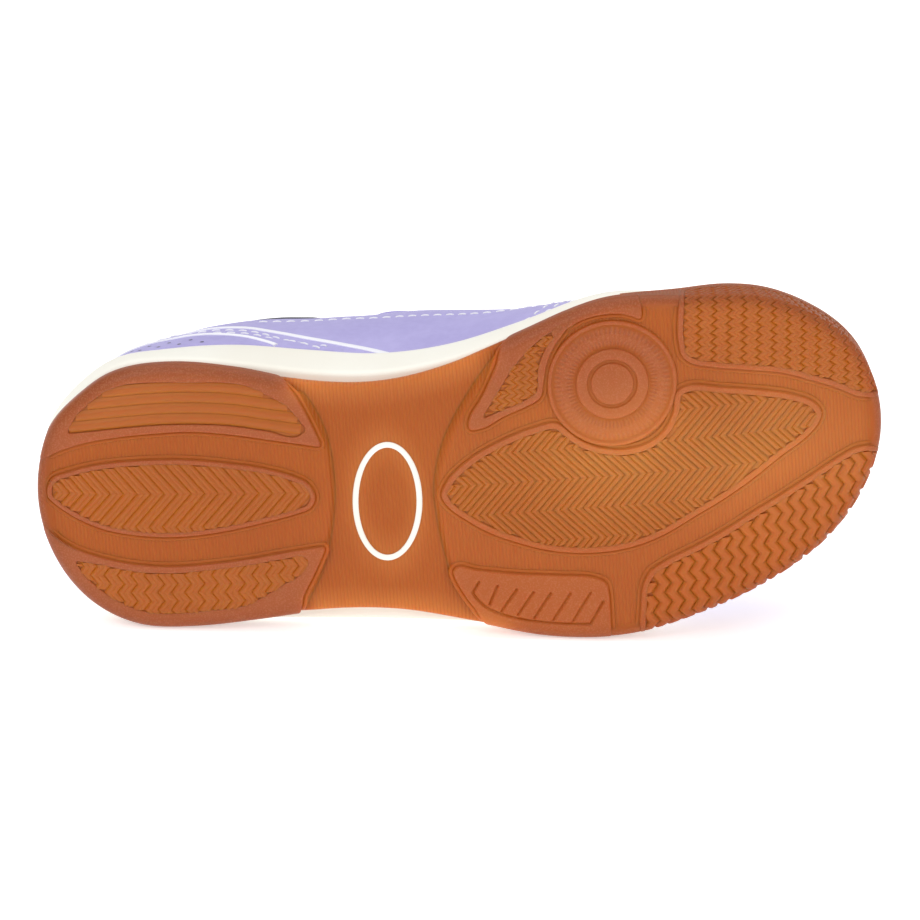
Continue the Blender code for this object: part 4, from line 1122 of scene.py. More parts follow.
def outsole():
    recesses = {name: recess_outline(name) for name in BLOCKS if name in RIMS or name in RECESSES}
    wrapped = [recesses[name] for name in recesses if name.startswith("toe")]
    floors = [outsole_plate()] + [platform(block, wrapped) for block in PLATFORMS]
    piece("outsole_plate", joined(floors), GUM, "gum", ["outsole"], smooth=FIRM)
    piece("toe_wrap", toe_wrap(wrapped), GUM, "gum", smooth=FIRM)
    rings = [pivot(), padded_block("pivot_side", sunk=PIVOT_SIDE_SUNK)]
    piece("pivot_rings", joined(rings), GUM, "gum", smooth=SOFT)
    blocks = [padded_block("fore_lateral", [curve(BASE_GROOVE)] + list(SLANT_GROOVES))]
    for name, recess in recesses.items():
        out = None if name.startswith("toe") else OVERHANG
        blocks += [rim_band(block_outline(BLOCKS[name], out), recess), recess_floor(name, recess)]
    piece("tread_blocks", joined(blocks), GUM, "gum", smooth=SOFT)
    bounds = {name: inset(recess, -RIB_UNDER_RIM) for name, recess in recesses.items()}
    ribs = [form for family in RIBS for form in zigzag_ribs(family, bounds[family.block])]
    ribs += long_ribs(bounds["heel_medial"])
    piece("tread_ribs", joined(ribs), GUM, "gum", merge=False, smooth=CRISP)
    piece("waist_band", waist_band(), FOAM, "foam", ["waist_oval"])


# Midsole and insole

Swell = namedtuple("Swell", "share middle top")
MEDIAL_SWELL = [Swell(0.0, 1.5, 0.0), Swell(0.22, 0.0, 0.0), Swell(0.55, 0.0, 0.0), Swell(0.64, 0.5, 0.9),
                Swell(0.72, 0.6, 1.2), Swell(0.80, 0.4, 0.9), Swell(0.87, 0.0, 0.0), Swell(1.0, 0.0, 0.0)]
MEDIAL_EASE = 0.2           # sine of the turn over which the medial swell comes in
SWELL_LOW = 1.15            # the swell is fullest under the middle of the wall
# Section of the wall: share of its height, and how far it bulges
MIDSOLE_FOOT = [(0.02, -0.5), (0.06, -0.1), (0.12, 0.1)]
MIDSOLE_LIP = [(0.94, -0.02), (0.98, -0.3)]
BELLY, BELLY_LEAST = 0.35, 0.1
BELLY_FROM, BELLY_SPAN = 0.12, 0.76
MIDSOLE_TUCK, LIP_ROUND = 1.2, 0.9


def midsole():
    turns = SOLE_TURNS
    low, top = sided(turns, "low"), sided(turns, "top")

    def under(x):
        return tread(x) + PLATE_TOP + GAP

    def footbed(x):
        return feather(x) - FOOTBED_DROP

    medial = ease((np.sin(turns) + MEDIAL_EASE) / MEDIAL_EASE)
    middle, upmost = (medial * along(MEDIAL_SWELL, name, share_at(turns)) for name in ("middle", "top"))

    def wall(share, bulge):
        fuller = middle * math.sin(math.pi * min(share * SWELL_LOW, 1.0)) + upmost * ease(share)
        return sole_loop(1, low + share * (top - low) + bulge + fuller,
                         lambda x: under(x) + share * (feather(x) - under(x)))
    belly = [(share, BELLY_LEAST + BELLY * math.sin(math.pi * (share - BELLY_FROM) / BELLY_SPAN))
             for share in np.linspace(0.2, 0.88, 8)]
    bed = top - LEDGE - LEDGE_SLOPE
    loops = [sole_loop(0, low, under), sole_loop(0.6, low, under), sole_loop(1, low - MIDSOLE_TUCK, under)]
    loops += [wall(share, bulge) for share, bulge in MIDSOLE_FOOT + belly + MIDSOLE_LIP]
    loops += [sole_loop(1, top + upmost - LIP_ROUND, feather), sole_loop(1, top - LEDGE, feather),
              sole_loop(1, bed, footbed), sole_loop(0, bed, footbed)]
    piece("midsole_foam", ringed(loops, [0] * len(loops), shut=False), FOAM, "foam", ["midsole"])


# Section of the insole from the middle of its underside to that of its top: reach, out and rise
INSOLE = [(0, 0, 0), (1, 0, 0), (1, 0, INSOLE_THICK - 0.9), (1, -0.3, INSOLE_THICK - 0.3),
          (1, -0.9, INSOLE_THICK), (0.6, -0.9, INSOLE_THICK), (0, -0.9, INSOLE_THICK)]


def insole():
    rim = sided(SOLE_TURNS, "top") - LEDGE - LEDGE_SLOPE - GAP
    loops = [sole_loop(reach, rim + out, lambda x, rise=rise: feather(x) - FOOTBED_DROP + GAP + rise)
             for reach, out, rise in INSOLE]
    piece("insole_board", ringed(loops, [0] * len(loops), shut=False), KNIT, "lining", ["insole"])


# Upper

WALL_TURNS = np.linspace(0, 2 * math.pi, 288, endpoint=False)
WALL_CLIMBS = np.concatenate([np.linspace(0, 0.8, 33), np.linspace(0.82, 1, 13)])

Crease = namedtuple("Crease", "along lean wide deep")
CREASES = [Crease(129.0, 0.18, 3.2, 0.35), Crease(137.0, 0.05, 3.8, 0.45), Crease(146.0, -0.08, 3.2, 0.3)]
CREASE_FROM, CREASE_OVER = 24.0, 14.0       # height from which they come in


def creased(points):
    """How far the vamp's flex creases let the upper in at each point."""
    across = np.abs(points[..., 1] - RIDGE)
    high = ease((points[..., 2] - CREASE_FROM) / CREASE_OVER)
    return sum(-row.deep * high * bell((points[..., 0] - row.along - row.lean * across) / row.wide)
               for row in CREASES)


# Places on the medial side where the upper is fuller or let in, in degrees, climb and millimetres
Fuller = namedtuple("Fuller", "turn climb turn_wide climb_wide out")
FULLER = [Fuller(49, 0.75, 13, 0.5, 1.9), Fuller(66, 1.0, 9, 0.5, 0.5), Fuller(117, 0.1, 9, 0.35, -1.2)]
RIM_ROLL = 0.6              # height of the rim's roll as a share of half the wall


def settled(turn, climb):
    """The upper's outer face, creased and with its fuller places, and the way out of it."""
    wall, face = wall_point(turn, climb), wall_normal(turn, climb)
    degrees = np.degrees(turn)
    fuller = sum(row.out * np.exp(-((degrees - row.turn) / row.turn_wide) ** 2
                                  - ((climb - row.climb) / row.climb_wide) ** 2) for row in FULLER)
    return wall + face * column(creased(wall) + fuller), face


def upper():
    """One wall all round: outer face, rolled rim, inner face and foot. The rim stops where the sides meet."""
    turn, climb = np.meshgrid(WALL_TURNS, WALL_CLIMBS)
    outer, face = settled(turn, climb)
    inner = outer - face * WALL
    up, shut = unit(wall_row(WALL_TURNS)[3]), met(WALL_TURNS)
    roll = []
    for angle in np.radians([36, 72, 108, 144]):
        lip = outer[-1] - face[-1] * (WALL / 2) * (1 - math.cos(angle))
        roll.append(lip + up * column(np.where(shut, 0.0, WALL / 2 * math.sin(angle) * RIM_ROLL)))
    loops = list(outer) + roll + list(inner[::-1])
    faces = closed_skin(len(loops), len(WALL_TURNS))
    row, at = np.divmod(np.arange(len(faces)), len(WALL_TURNS))
    in_rim = (row >= len(outer) - 1) & (row < len(outer) + len(roll))
    faces = faces[~(in_rim & (shut & np.roll(shut, -1))[at])]
    points = np.concatenate(loops)
    form = Form(points, faces, np.zeros(len(points)))
    return piece("upper_shell", form, NUBUCK, "upper", ["upper"], smooth=SOFT)


OVERLAY_SUNK = -0.15        # back of what is laid on the upper
OVERLAY_FOOT = 0.02         # climb where it starts
EDGE_THIN = 0.02            # square of the share of its thickness that is left at its edge


def laid_on(turns, low, high, outer, rows=26, round_edge=0.9, ramp=0.9):
    """A sheet that follows the upper between two climbs, its edges let down to it and its ends over ramp."""
    turn = np.broadcast_to(turns[:, None], (len(turns), rows))
    climb = low(turn) + (high(turn) - low(turn)) * np.linspace(0, 1, rows)
    wall, face = settled(turn, climb)
    up, on = run_along(wall, axis=1), run_along(wall, axis=0)
    ends = np.minimum(on, on[-1:] - on) * round_edge / ramp
    border = np.minimum(np.minimum(up, up[:, -1:] - up), ends)
    sharp = 1 - np.clip(border / round_edge, 0, 1)
    thick = (outer - OVERLAY_SUNK) * np.sqrt(np.maximum(1 - sharp ** 2, EDGE_THIN))
    return slab(wall + face * column(OVERLAY_SUNK + thick), wall + face * OVERLAY_SUNK)


Reach = namedtuple("Reach", "turn climb")
TOE_THICK = 0.7
TOE_FROM, HEEL_TO = 118.0, 75.0             # degrees round to the ends of the toe cap and of the counter
TOE_REACH = [Reach(112, 0.20), Reach(130, 0.34), Reach(150, 0.44), Reach(180, 0.52)]
HEEL_THICK = 0.85
COUNTER_EDGE = 0.02         # climb over which the counter's edge comes up
HEEL_REACH = [Reach(0, 0.56), Reach(25, 0.52), Reach(50, 0.38), Reach(65, 0.20), Reach(76, 0.07)]
STAY_FROM, STAY_TO = 82.5, 108.75
STAY_LOW, STAY_HIGH, STAY_RAMP = 0.78, 0.985, 9.0


def reach_of(rows):
    return lambda turn: along(rows, "climb", np.degrees(folded(turn)))


def spaced(first, last, count):
    return np.radians(np.linspace(first, last, count))


def level(climb):
    return lambda turn: np.full_like(turn, climb)


def overlays():
    """Toe cap, heel counter and eyestays."""
    def sheet(name, node, form):
        return piece(name, form, NUBUCK_LAID, "overlay", [node], smooth=SOFT)

    def stay(side, first, last):
        turns, low, high = spaced(first, last, 60), level(STAY_LOW), level(STAY_HIGH)
        form = laid_on(turns, low, high, GAP + OVERLAY, rows=18, ramp=STAY_RAMP)
        return sheet(f"lace_stay_{side}", f"eyestay_{side}", form)
    foot = level(OVERLAY_FOOT)
    sheet("toe_overlay", "toe_cap",
          laid_on(spaced(TOE_FROM, 360 - TOE_FROM, 120), foot, reach_of(TOE_REACH), TOE_THICK))
    sheet("heel_overlay", "heel_counter",
          laid_on(spaced(-HEEL_TO, HEEL_TO, 120), foot, reach_of(HEEL_REACH), HEEL_THICK))
    return [stay("medial", STAY_FROM, STAY_TO), stay("lateral", 360 - STAY_TO, 360 - STAY_FROM)]


def from_ends(rows):
    """How many rows each is from the nearer end."""
    return np.minimum(np.arange(len(rows)), np.arange(len(rows))[::-1])


COLLAR_END = 75.5           # degrees round to where the lining's roll over the rim ends
COLLAR_PROUD, COLLAR_SUNK = 0.35, 0.25      # the roll off the rim where it shows, and in it round the heel
COLLAR_SHOWS, COLLAR_GROWS, COLLAR_FADES = 57.0, 12.0, 3.0
COLLAR_WAYS = np.radians(np.arange(-60, 241, 30))       # round the roll, from the outer face to the inner


def collar_roll():
    """The lining's edge, turned out over the rim of the collar."""
    turns = spaced(-COLLAR_END, COLLAR_END, 150)
    rim, face = settled(turns, np.ones_like(turns))
    up, degrees = unit(wall_row(turns)[3]), np.abs(np.degrees(turns))
    shows = ease((degrees - COLLAR_SHOWS) / COLLAR_GROWS) * ease((COLLAR_END - degrees) / COLLAR_FADES)
    radius = column(WALL / 2 - COLLAR_SUNK + (COLLAR_SUNK + COLLAR_PROUD) * shows)
    return tube(np.stack([rim - face * WALL / 2 + (face * math.cos(way) + up * math.sin(way)) * radius
                          for way in COLLAR_WAYS], axis=1))


PAD_TO = 67.5               # degrees round to the ends of the padding
PAD_FOOT, PAD_CLIMB = 0.5, 0.53
PAD_THIN = 0.3              # at its border
PAD_ENDS, PAD_END_FULL = 6.0, 0.35          # rows over which its ends fill out, and how full they start
PAD_LOW_FULL = 0.7          # share of its thickness low down


def collar_pad():
    """Padded lining inside the collar, fullest near its top."""
    turns = spaced(-PAD_TO, PAD_TO, 110)
    turn, part = np.meshgrid(turns, np.linspace(0, 1, 26), indexing="ij")
    climb = PAD_FOOT + PAD_CLIMB * part
    face, wall = wall_normal(turn, climb), wall_point(turn, climb)
    ends = ease(from_ends(turns) / PAD_ENDS)[:, None]
    crown = np.sqrt(np.maximum(1 - np.abs(2 * part - 1) ** 3, 0.0))
    crown = crown * (PAD_LOW_FULL + (1 - PAD_LOW_FULL) * part)
    full = (LINING - PAD_THIN) * crown * (PAD_END_FULL + (1 - PAD_END_FULL) * ends)
    front, back = wall - face * (WALL + GAP), wall - face * column(WALL + GAP + PAD_THIN + full)
    form = joined([slab(front, back), collar_roll()])
    pad = piece("collar_pad", form, KNIT, "lining", ["collar_lining"], smooth=SOFT)


# Tongue and lacing

THROAT_PULL = 0.36          # how full the skin across the throat is
TONGUE_FROM, TONGUE_TO = 86.0, 109.0        # degrees round to the top and the foot of the throat
TONGUE_UNDER, TONGUE_THICK = 0.6, 4.0
TONGUE_ENDS, TONGUE_END_FULL = 4, 0.25      # rows over which its ends fill out, and how full they start
TONGUE_WIDE, TONGUE_TOP_WIDE = 0.93, 0.66   # shares of the throat's width
TONGUE_PAST, TONGUE_BELOW = 16.0, 10.0      # how far it goes on past the throat at its top and at its foot
TONGUE_STEP = 1.5           # the first row past the throat
TONGUE_DROP, TONGUE_NARROWS = 0.1, 0.003    # of the foot, for each millimetre


def throat_point(turn, across, out):
    """A point on the skin carried across the throat: across is -1 to 1, its middle half bridging the gap."""
    values = [np.asarray(value, dtype=float) for value in (turn, across, out)]
    turn, across, out = np.broadcast_arrays(*values)
    down = np.maximum(np.abs(across) - 0.5, 0) * 2 * TUCK
    beside = off_wall(np.where(across < 0, turn, -turn), 1 - down, out)
    ends = []
    for way in (turn, -turn):
        _, edge, _, arrive = wall_row(way)
        ends.append((edge + column(out) * wall_normal(way, np.ones_like(way)), unit(arrive)))
    (a, go), (b, come) = ends
    pull = THROAT_PULL * np.linalg.norm(b - a, axis=-1, keepdims=True)
    t = column(np.clip(across, -0.5, 0.5) + 0.5)
    bridge = (a * (1 - t) ** 3 + (a + go * pull) * 3 * t * (1 - t) ** 2
              + (b + come * pull) * 3 * t * t * (1 - t) + b * t ** 3)
    return np.where(column(np.abs(across) > 0.5), beside, bridge)


Strip = namedtuple("Strip", "turn shift wide")


def tongue():
    """Padded tongue: two faces that swell apart and meet round its border."""
    across, turns = np.linspace(-1, 1, 31), spaced(TONGUE_FROM, TONGUE_TO, 20)
    up_back = unit(throat_point(turns[0], 0, 0) - throat_point(turns[5], 0, 0))
    down_front = unit(throat_point(turns[-1], 0, 0) - throat_point(turns[-6], 0, 0))
    spread = TONGUE_WIDE - TONGUE_TOP_WIDE
    strips = [Strip(turns[0], up_back * step, TONGUE_TOP_WIDE + spread * ease(1 - step / TONGUE_PAST))
              for step in np.linspace(TONGUE_PAST, TONGUE_STEP, 10)]
    strips += [Strip(turn, np.zeros(3), TONGUE_WIDE) for turn in turns]
    down_front = down_front - np.array([0, 0, TONGUE_DROP])
    strips += [Strip(turns[-1], down_front * step, TONGUE_WIDE - TONGUE_NARROWS * step)
               for step in np.linspace(TONGUE_STEP, TONGUE_BELOW, 6)]
    full = TONGUE_END_FULL + (1 - TONGUE_END_FULL) * ease(from_ends(strips) / TONGUE_ENDS)
    swell = np.sqrt(np.maximum(1 - np.abs(across) ** 4, 0))[None] * full[:, None]
    turn = np.array([strip.turn for strip in strips])[:, None]
    shift = np.array([strip.shift for strip in strips])[:, None]
    narrow = np.array([(1.0, strip.wide, 1.0) for strip in strips])[:, None]
    faces = []
    for way in (-1, 1):
        out = -WALL - TONGUE_UNDER - TONGUE_THICK / 2 * (1 + way * swell)
        middle = throat_point(turn, 0.0, out)
        faces.append(middle + (throat_point(turn, across[None], out) - middle) * narrow + shift)
    pad = piece("tongue_pad", slab(*faces), NUBUCK, "upper", ["tongue"], smooth=SOFT)


def lace_run(start, end, dip):
    """A stretch of flat lace: up through a medial eyelet, over the throat and down through a lateral one."""
    over = 2 * GAP + OVERLAY + EYELET_THICK + GAP + LACE_THICK / 2
    reach = 0.5 + (1 - EYELET_CLIMB) / (2 * TUCK)

    def path(t, out):
        across = reach * (2 * t - 1)
        hollow = np.maximum(1 - (across / 0.5) ** 2, 0.0) ** 2
        return throat_point(start + (end - start) * t, across, out - dip * hollow)
    t, drops = np.linspace(0, 1, 48), len(LACE_DROPS)
    places = path(t, over)
    faces = path(t, over + 1) - places
    first, last = path(np.zeros(drops), over - LACE_DROPS), path(np.ones(drops), over - LACE_DROPS)
    faces = np.concatenate([np.tile(unit(places[1] - places[0]), (drops, 1)), faces,
                            np.tile(unit(places[-2] - places[-1]), (drops, 1))])
    places, faces = np.concatenate([first[::-1], places, last]), unit(faces)
    for _ in range(3):
        places[1:-1] = (places[:-2] + 2 * places[1:-1] + places[2:]) / 4
        faces[1:-1] = (faces[:-2] + 2 * faces[1:-1] + faces[2:]) / 4
    run = unit(np.gradient(places, axis=0))
    face = unit(faces - run * column((faces * run).sum(axis=1)))
    side = np.cross(run, face)
    spread = ease((from_ends(places) - LACE_GATHERED) / LACE_SPREADS)
    wide = LACE_END_WIDE + (LACE_WIDE - LACE_END_WIDE) * spread
    thick = LACE_END_THICK + (LACE_THICK - LACE_END_THICK) * spread
    loops = []
    for angle in np.linspace(0, 2 * math.pi, 16, endpoint=False):
        c, s = math.cos(angle), math.sin(angle)
        loops.append(places + side * column(wide / 2 * abs(c) ** LACE_FLAT * np.sign(c))
                     + face * column(thick / 2 * abs(s) ** LACE_ROUND * np.sign(s)))
    return tube(np.stack(loops, axis=1))


def lacing():
    runs = [lace_run(EYELET_TURNS[-1], EYELET_TURNS[-1], LACE_DIP)]
    for high, low in zip(EYELET_TURNS, EYELET_TURNS[1:]):
        runs += [lace_run(low, high, LACE_DIP - LACE_OVER), lace_run(high, low, LACE_DIP + LACE_UNDER)]
    piece("lace_strap", joined(runs), LACING, "lace", ["lace"], merge=False, smooth=SOFT)


def seat_matrix(turn, out):
    """Where an eyelet stands on the upper, its axis square to the wall."""
    foot, face = off_wall(turn, EYELET_CLIMB, out), wall_normal(turn, EYELET_CLIMB)
    wide = unit(np.cross(face, np.array([0, 0, 1.0])))
    turned = np.stack([wide, np.cross(face, wide), face], axis=1)
    world = np.array(TO_REST) @ turned
    matrix = Matrix(world.tolist()).to_4x4()
    matrix.translation = Vector(place(foot))
    return matrix


def eyelet_ring():
    """One eyelet, modelled about its axis: a ring with rounded edges."""
    flange, thick = EYELET_FLANGE * MM, EYELET_THICK * MM
    bpy.ops.object.select_all(action="DESELECT")
    bpy.ops.mesh.primitive_cylinder_add(vertices=40, radius=flange, depth=thick, end_fill_type="NGON")
    ring = bpy.context.object
    bpy.ops.object.mode_set(mode="EDIT")
    bpy.ops.mesh.select_mode(type="FACE")
    bpy.ops.mesh.select_all(action="DESELECT")
    work = bmesh.from_edit_mesh(ring.data)
    for face in work.faces:
        face.select_set(abs(face.normal.z) > 0.9)
    bmesh.update_edit_mesh(ring.data)
    bpy.ops.mesh.inset(thickness=flange - EYELET_HOLE * MM)
    bpy.ops.mesh.bridge_edge_loops()
    bpy.ops.object.mode_set(mode="OBJECT")
    edge = ring.modifiers.new("edge", "BEVEL")
    edge.width, edge.segments, edge.limit_method = thick * EYELET_ROUND, 4, "ANGLE"
    apply_all(ring)
    return ring


def eyelets():
    model = eyelet_ring()
    out = 2 * GAP + OVERLAY + EYELET_THICK / 2 - EYELET_SUNK
    for side, way in (("medial", 1), ("lateral", -1)):
        for i, turn in enumerate(EYELET_TURNS):
            ring = bpy.data.objects.new(f"eyelet_ring_{side}_{i + 1}", model.data.copy())
            bpy.context.scene.collection.objects.link(ring)
            ring.data.transform(seat_matrix(way * turn, out))
            dress(ring, EYELET_PAINT, [f"eyelet_{side}_{i + 1}"])
    bpy.data.objects.remove(model)


def punched(*sheets):
    """Eyelet holes through the upper and what is laid on it."""
    bpy.ops.object.select_all(action="DESELECT")
    radius, depth = (EYELET_HOLE + PUNCH_ROOM) * MM, PUNCH_LONG * MM
    bpy.ops.mesh.primitive_cylinder_add(vertices=32, radius=radius, depth=depth)
    punch = bpy.context.object
    work, whole = bmesh.new(), bpy.data.meshes.new("punches")
    for way in SIDES:
        for turn in EYELET_TURNS:
            copy = punch.data.copy()
            copy.transform(seat_matrix(way * turn, 0.0))
            work.from_mesh(copy)
    work.to_mesh(whole)
    work.free()
    punch.data = whole
    for sheet in sheets:
        cut = sheet.modifiers.new("eyelets", "BOOLEAN")
        cut.operation, cut.solver, cut.object = "DIFFERENCE", "EXACT", punch
        apply_all(sheet)
        only(sheet)
        bpy.ops.object.shade_smooth_by_angle(angle=math.radians(SOFT))
    bpy.data.objects.remove(punch)


# Trim, stitches and pinholes

Seam = namedtuple("Seam", "turn climb")
TRIM_THICK, TRIM_STEP = 0.35, 1.2
TRIM_WIDE = {"counter_trim": 1.8, "counter_edge": 1.3}
TRIM_SUNK = 0.3
TRIM_FLAT = 0.6             # share of its width that is flat on top
TRIMS = {
    "counter_trim": [Seam(0, 0.64), Seam(25, 0.60), Seam(40, 0.54), Seam(48, 0.52), Seam(55, 0.55),
                     Seam(59, 0.54), Seam(61.5, 0.52), Seam(63.5, 0.47), Seam(67, 0.38), Seam(71, 0.26),
                     Seam(74.5, 0.17), Seam(79, 0.07), Seam(81.5, 0.0)],
    "counter_edge": [Seam(0, 0.36), Seam(25, 0.33), Seam(40, 0.28), Seam(48, 0.26), Seam(53.5, 0.26),
                     Seam(56, 0.24), Seam(59, 0.21), Seam(61.5, 0.165), Seam(63, 0.12), Seam(64.5, 0.07),
                     Seam(65.2, 0.04)],
}

STITCH_PITCH, STITCH_LONG, STITCH_THICK = 3.3, 2.1, 0.5
STITCH_ARCH, STITCH_DIP = 0.18, 0.6         # how much it bows, and the share of that above the leather
STITCHES = [
    [Seam(64, 0.80), Seam(70, 0.77), Seam(77.5, 0.63), Seam(85, 0.46), Seam(91.5, 0.37), Seam(97.5, 0.31),
     Seam(101.5, 0.34), Seam(104.5, 0.45), Seam(107, 0.62)],
    [Seam(98.4, 0.01), Seam(100.5, 0.08), Seam(104, 0.25), Seam(107, 0.45), Seam(109, 0.62)],
    [Seam(99.6, 0.01), Seam(101.8, 0.06), Seam(105.2, 0.20), Seam(108.2, 0.38), Seam(110.2, 0.54)],
    [Seam(107, 0.17), Seam(112, 0.15), Seam(116, 0.17)],
    [Seam(0, 0.50), Seam(25, 0.47), Seam(40, 0.42), Seam(48, 0.43), Seam(55, 0.47), Seam(58.5, 0.45),
     Seam(61.5, 0.42), Seam(63.5, 0.36), Seam(66.5, 0.24), Seam(70, 0.15), Seam(72, 0.08)],
    [Seam(0, 0.44), Seam(25, 0.41), Seam(40, 0.36), Seam(48, 0.36), Seam(55, 0.39), Seam(58.5, 0.37),
     Seam(61.5, 0.34), Seam(63.5, 0.29), Seam(66.5, 0.18), Seam(69.5, 0.10), Seam(71, 0.05)],
]
TOE_STITCHES = [[Seam(118.6, 0.20), Seam(130, 0.29), Seam(150, 0.39), Seam(180, 0.47)],
                [Seam(119.2, 0.15), Seam(130, 0.25), Seam(150, 0.35), Seam(180, 0.43)]]
STAY_STITCHES = [[Seam(88, 0.82), Seam(95, 0.81), Seam(107, 0.81)]]
PINHOLES = [Seam(turn, 0.08) for turn in range(6, 56, 4)] + [Seam(turn, 0.15) for turn in range(8, 54, 4)]
PINHOLE, PINHOLE_OUT = 0.5, 0.03


def counter_lift(degrees, climb):
    """How far the heel counter's face stands off the upper, 0 outside it."""
    inside_edge = along(HEEL_REACH, "climb", degrees) - climb
    return HEEL_THICK * ease(inside_edge / COUNTER_EDGE) * (np.asarray(degrees) < HEEL_REACH[-1].turn)


def on_upper(rows, step, out, way=1):
    """Places along a line on the upper, evenly spaced, each with the way along it and the way out."""
    line = curve([tuple(row) for row in rows])
    turn, climb = way * np.radians(line[:, 0]), line[:, 1]
    wall, face = settled(turn, climb)
    wall = wall + face * column(out + counter_lift(line[:, 0], climb))
    length = np.linalg.norm(np.diff(wall, axis=0), axis=1).sum()
    count = max(int(length / step), 3)
    at, face = resampled(wall, count), unit(resampled(np.concatenate([wall, face], axis=1), count)[:, 3:])
    return at, unit(np.gradient(at, axis=0)), face


def trim(rows, way, wide):
    """A narrow pale strip laid along a line of the upper."""
    at, run, face = on_upper(rows, TRIM_STEP, 0.0, way)
    side = np.cross(face, run)
    half = [(wide / 2, -TRIM_SUNK), (wide / 2, TRIM_THICK / 2), (TRIM_FLAT * wide / 2, TRIM_THICK)]
    section = [(-across, out) for across, out in half] + half[::-1]
    return tube(np.stack([at + side * across + face * out for across, out in section], axis=1))


def stitches(rows, way, out):
    """Stitches along a line: each a short round thread that dips into the leather at its ends."""
    forms, ways = [], np.radians(np.arange(0, 360, 60))
    for at, run, face in zip(*on_upper(rows, STITCH_PITCH, out, way)):
        side = np.cross(face, run)
        rings = [at + run * part * STITCH_LONG / 2 + face * STITCH_ARCH * (STITCH_DIP - part * part)
                 for part in (-1, -0.6, 0, 0.6, 1)]
        around = [(side * math.cos(turned) + face * math.sin(turned)) * STITCH_THICK / 2 for turned in ways]
        forms.append(tube(np.array([[ring + thread for thread in around] for ring in rings])))
    return forms


def pinhole(row, way):
    """A dark disc on the counter for a pinhole: the lining's knit seen through it, and the painted shade
    inside the hole.
    """
    turn, climb = np.array([way * math.radians(row.turn)]), np.array([row.climb])
    wall, face = (value[0] for value in settled(turn, climb))
    side = unit(np.cross(face, [0, 0, 1.0]))
    over = np.cross(side, face)
    middle = wall + face * (HEEL_THICK + PINHOLE_OUT)
    rim = [middle + (side * math.cos(angle) + over * math.sin(angle)) * PINHOLE
           for angle in np.radians(np.arange(0, 360, 36))]
    return Form(np.array(rim), [list(range(len(rim)))], np.zeros(len(rim)))


def sewn():
    """What is laid on the upper and sewn through it, on both sides alike."""
    for name, rows in TRIMS.items():
        strips = joined([trim(rows, way, TRIM_WIDE[name]) for way in SIDES])
        piece(name, strips, TRIM, "overlay", smooth=FIRM)
    threads = []
    for lines, out in ((STITCHES, 0.0), (TOE_STITCHES, TOE_THICK), (STAY_STITCHES, GAP + OVERLAY)):
        threads += [form for way in SIDES for rows in lines for form in stitches(rows, way, out)]
    piece("stitching", joined(threads), THREAD, "overlay", merge=False, smooth=ROUND)
    # dark discs for the pinholes: the lining seen through them, with painted shade inside the holes
    hole_discs = [pinhole(row, way) for way in SIDES for row in PINHOLES]
    piece("pinholes", joined(hole_discs), KNIT, "lining", merge=False)


# Camera, floor and light

VIEW_TILT = math.radians(16.5)      # off square to the sole, towards the medial side
VIEW_ROLL = math.radians(4.7)       # heel to toe line rising to the right
VIEW_FROM = 1.1
VIEW_MIDDLE = (LENGTH / 2, 0.0, 3.0)
FRAME_PIXELS = 920
SOLE_PIXELS = 842.8                 # length of the sole in the picture
VIEW_SCALE = 1.012                  # brings the rendered sole to that length
PIXELS_PER_METRE = SOLE_PIXELS / (LENGTH * MM) * VIEW_SCALE
MIDDLE_ABOVE = 13.5                 # pixels that the sole's middle stands above the picture's
SENSOR = 36.0
FLOOR_WIDE, FLOOR_GLOW = 12, 0.44
SKY = 0.55
Light = namedtuple("Light", "name at size power")
LIGHTS = [Light("key", (-0.5, -1.0, 1.1), 0.9, 7), Light("fill", (0.9, -0.9, 0.5), 0.8, 2.2),
          Light("top", (0.0, 0.3, 1.4), 1.2, 7)]
LIT = Vector((0, 0, 0.04))


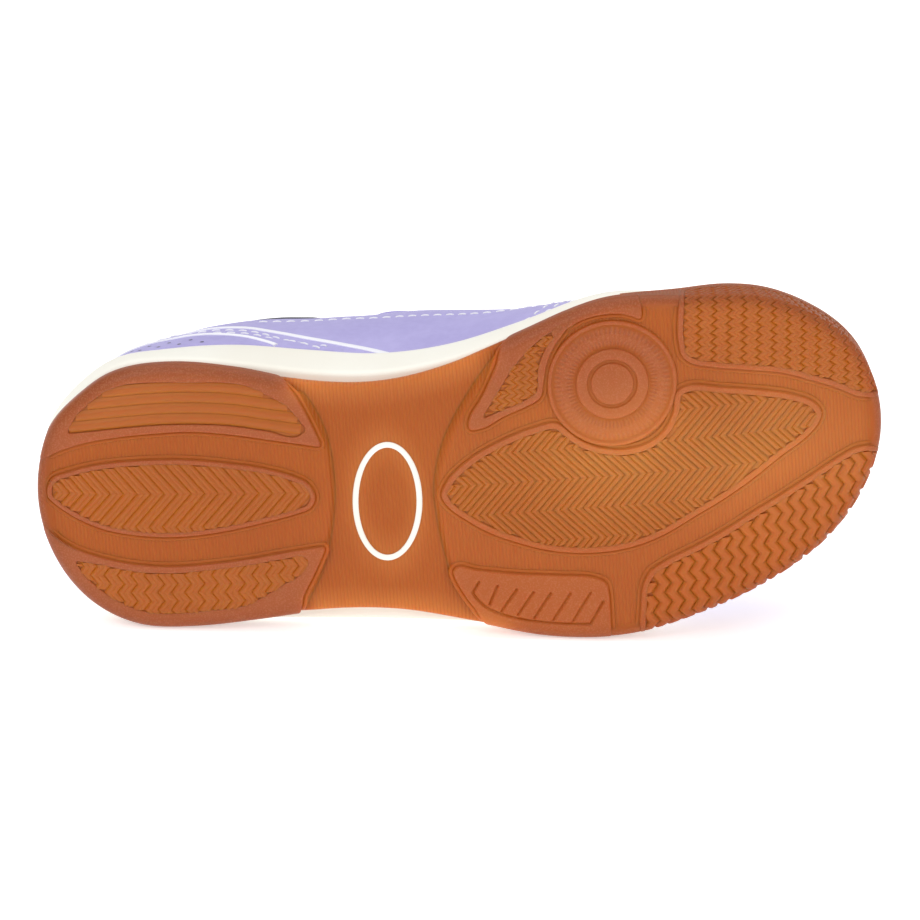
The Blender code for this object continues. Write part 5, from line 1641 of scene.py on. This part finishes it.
def camera():
    turn = np.array(TO_REST)
    right = np.array([1.0, 0, 0])
    up = np.array([0, -math.cos(VIEW_TILT), math.sin(VIEW_TILT)])
    back = np.array([0, -math.sin(VIEW_TILT), -math.cos(VIEW_TILT)])
    right, up = (math.cos(VIEW_ROLL) * right - math.sin(VIEW_ROLL) * up,
                 math.sin(VIEW_ROLL) * right + math.cos(VIEW_ROLL) * up)
    axes = turn @ np.stack([right, up, back], axis=1)
    middle = place(VIEW_MIDDLE)
    eye = middle + axes[:, 2] * VIEW_FROM - axes[:, 1] * MIDDLE_ABOVE / PIXELS_PER_METRE
    matrix = Matrix(axes.tolist()).to_4x4()
    matrix.translation = Vector(eye)
    bpy.ops.object.camera_add()
    made = bpy.context.object
    made.matrix_world = matrix
    made.data.sensor_width = SENSOR
    made.data.lens = SENSOR * PIXELS_PER_METRE * VIEW_FROM / FRAME_PIXELS
    made.data.clip_start, made.data.clip_end = 0.01, 50
    bpy.context.scene.camera = made


def studio():
    bpy.ops.mesh.primitive_plane_add(size=FLOOR_WIDE)
    floor = bpy.context.object
    floor.name = "floor"

    def pale(where, flat):
        cloud = where.noise(3, 2)
        return {"Base Color": cloud.blend((0.96, 0.96, 0.96, 1), (0.98, 0.98, 0.98, 1))}
    floor.data.materials.append(finish("pale floor", pale, Roughness=0.9, Emission_Color=(1, 1, 1, 1),
                                       Emission_Strength=FLOOR_GLOW))
    world = bpy.data.worlds.new("studio")
    world.use_nodes = True
    sky = world.node_tree.nodes["Background"].inputs
    sky["Color"].default_value = (1, 1, 1, 1)
    sky["Strength"].default_value = SKY
    bpy.context.scene.world = world
    for light in LIGHTS:
        bpy.ops.object.light_add(type="AREA", location=light.at)
        made = bpy.context.object
        made.name = light.name
        made.data.size, made.data.energy = light.size, light.power
        made.rotation_euler = (LIT - Vector(light.at)).to_track_quat("-Z", "Y").to_euler()
    bpy.context.scene.view_settings.view_transform = "Standard"


camera()
studio()
outsole()
midsole()
insole()
shell = upper()
stays = overlays()
collar_pad()
tongue()
punched(shell, *stays)
eyelets()
lacing()
sewn()
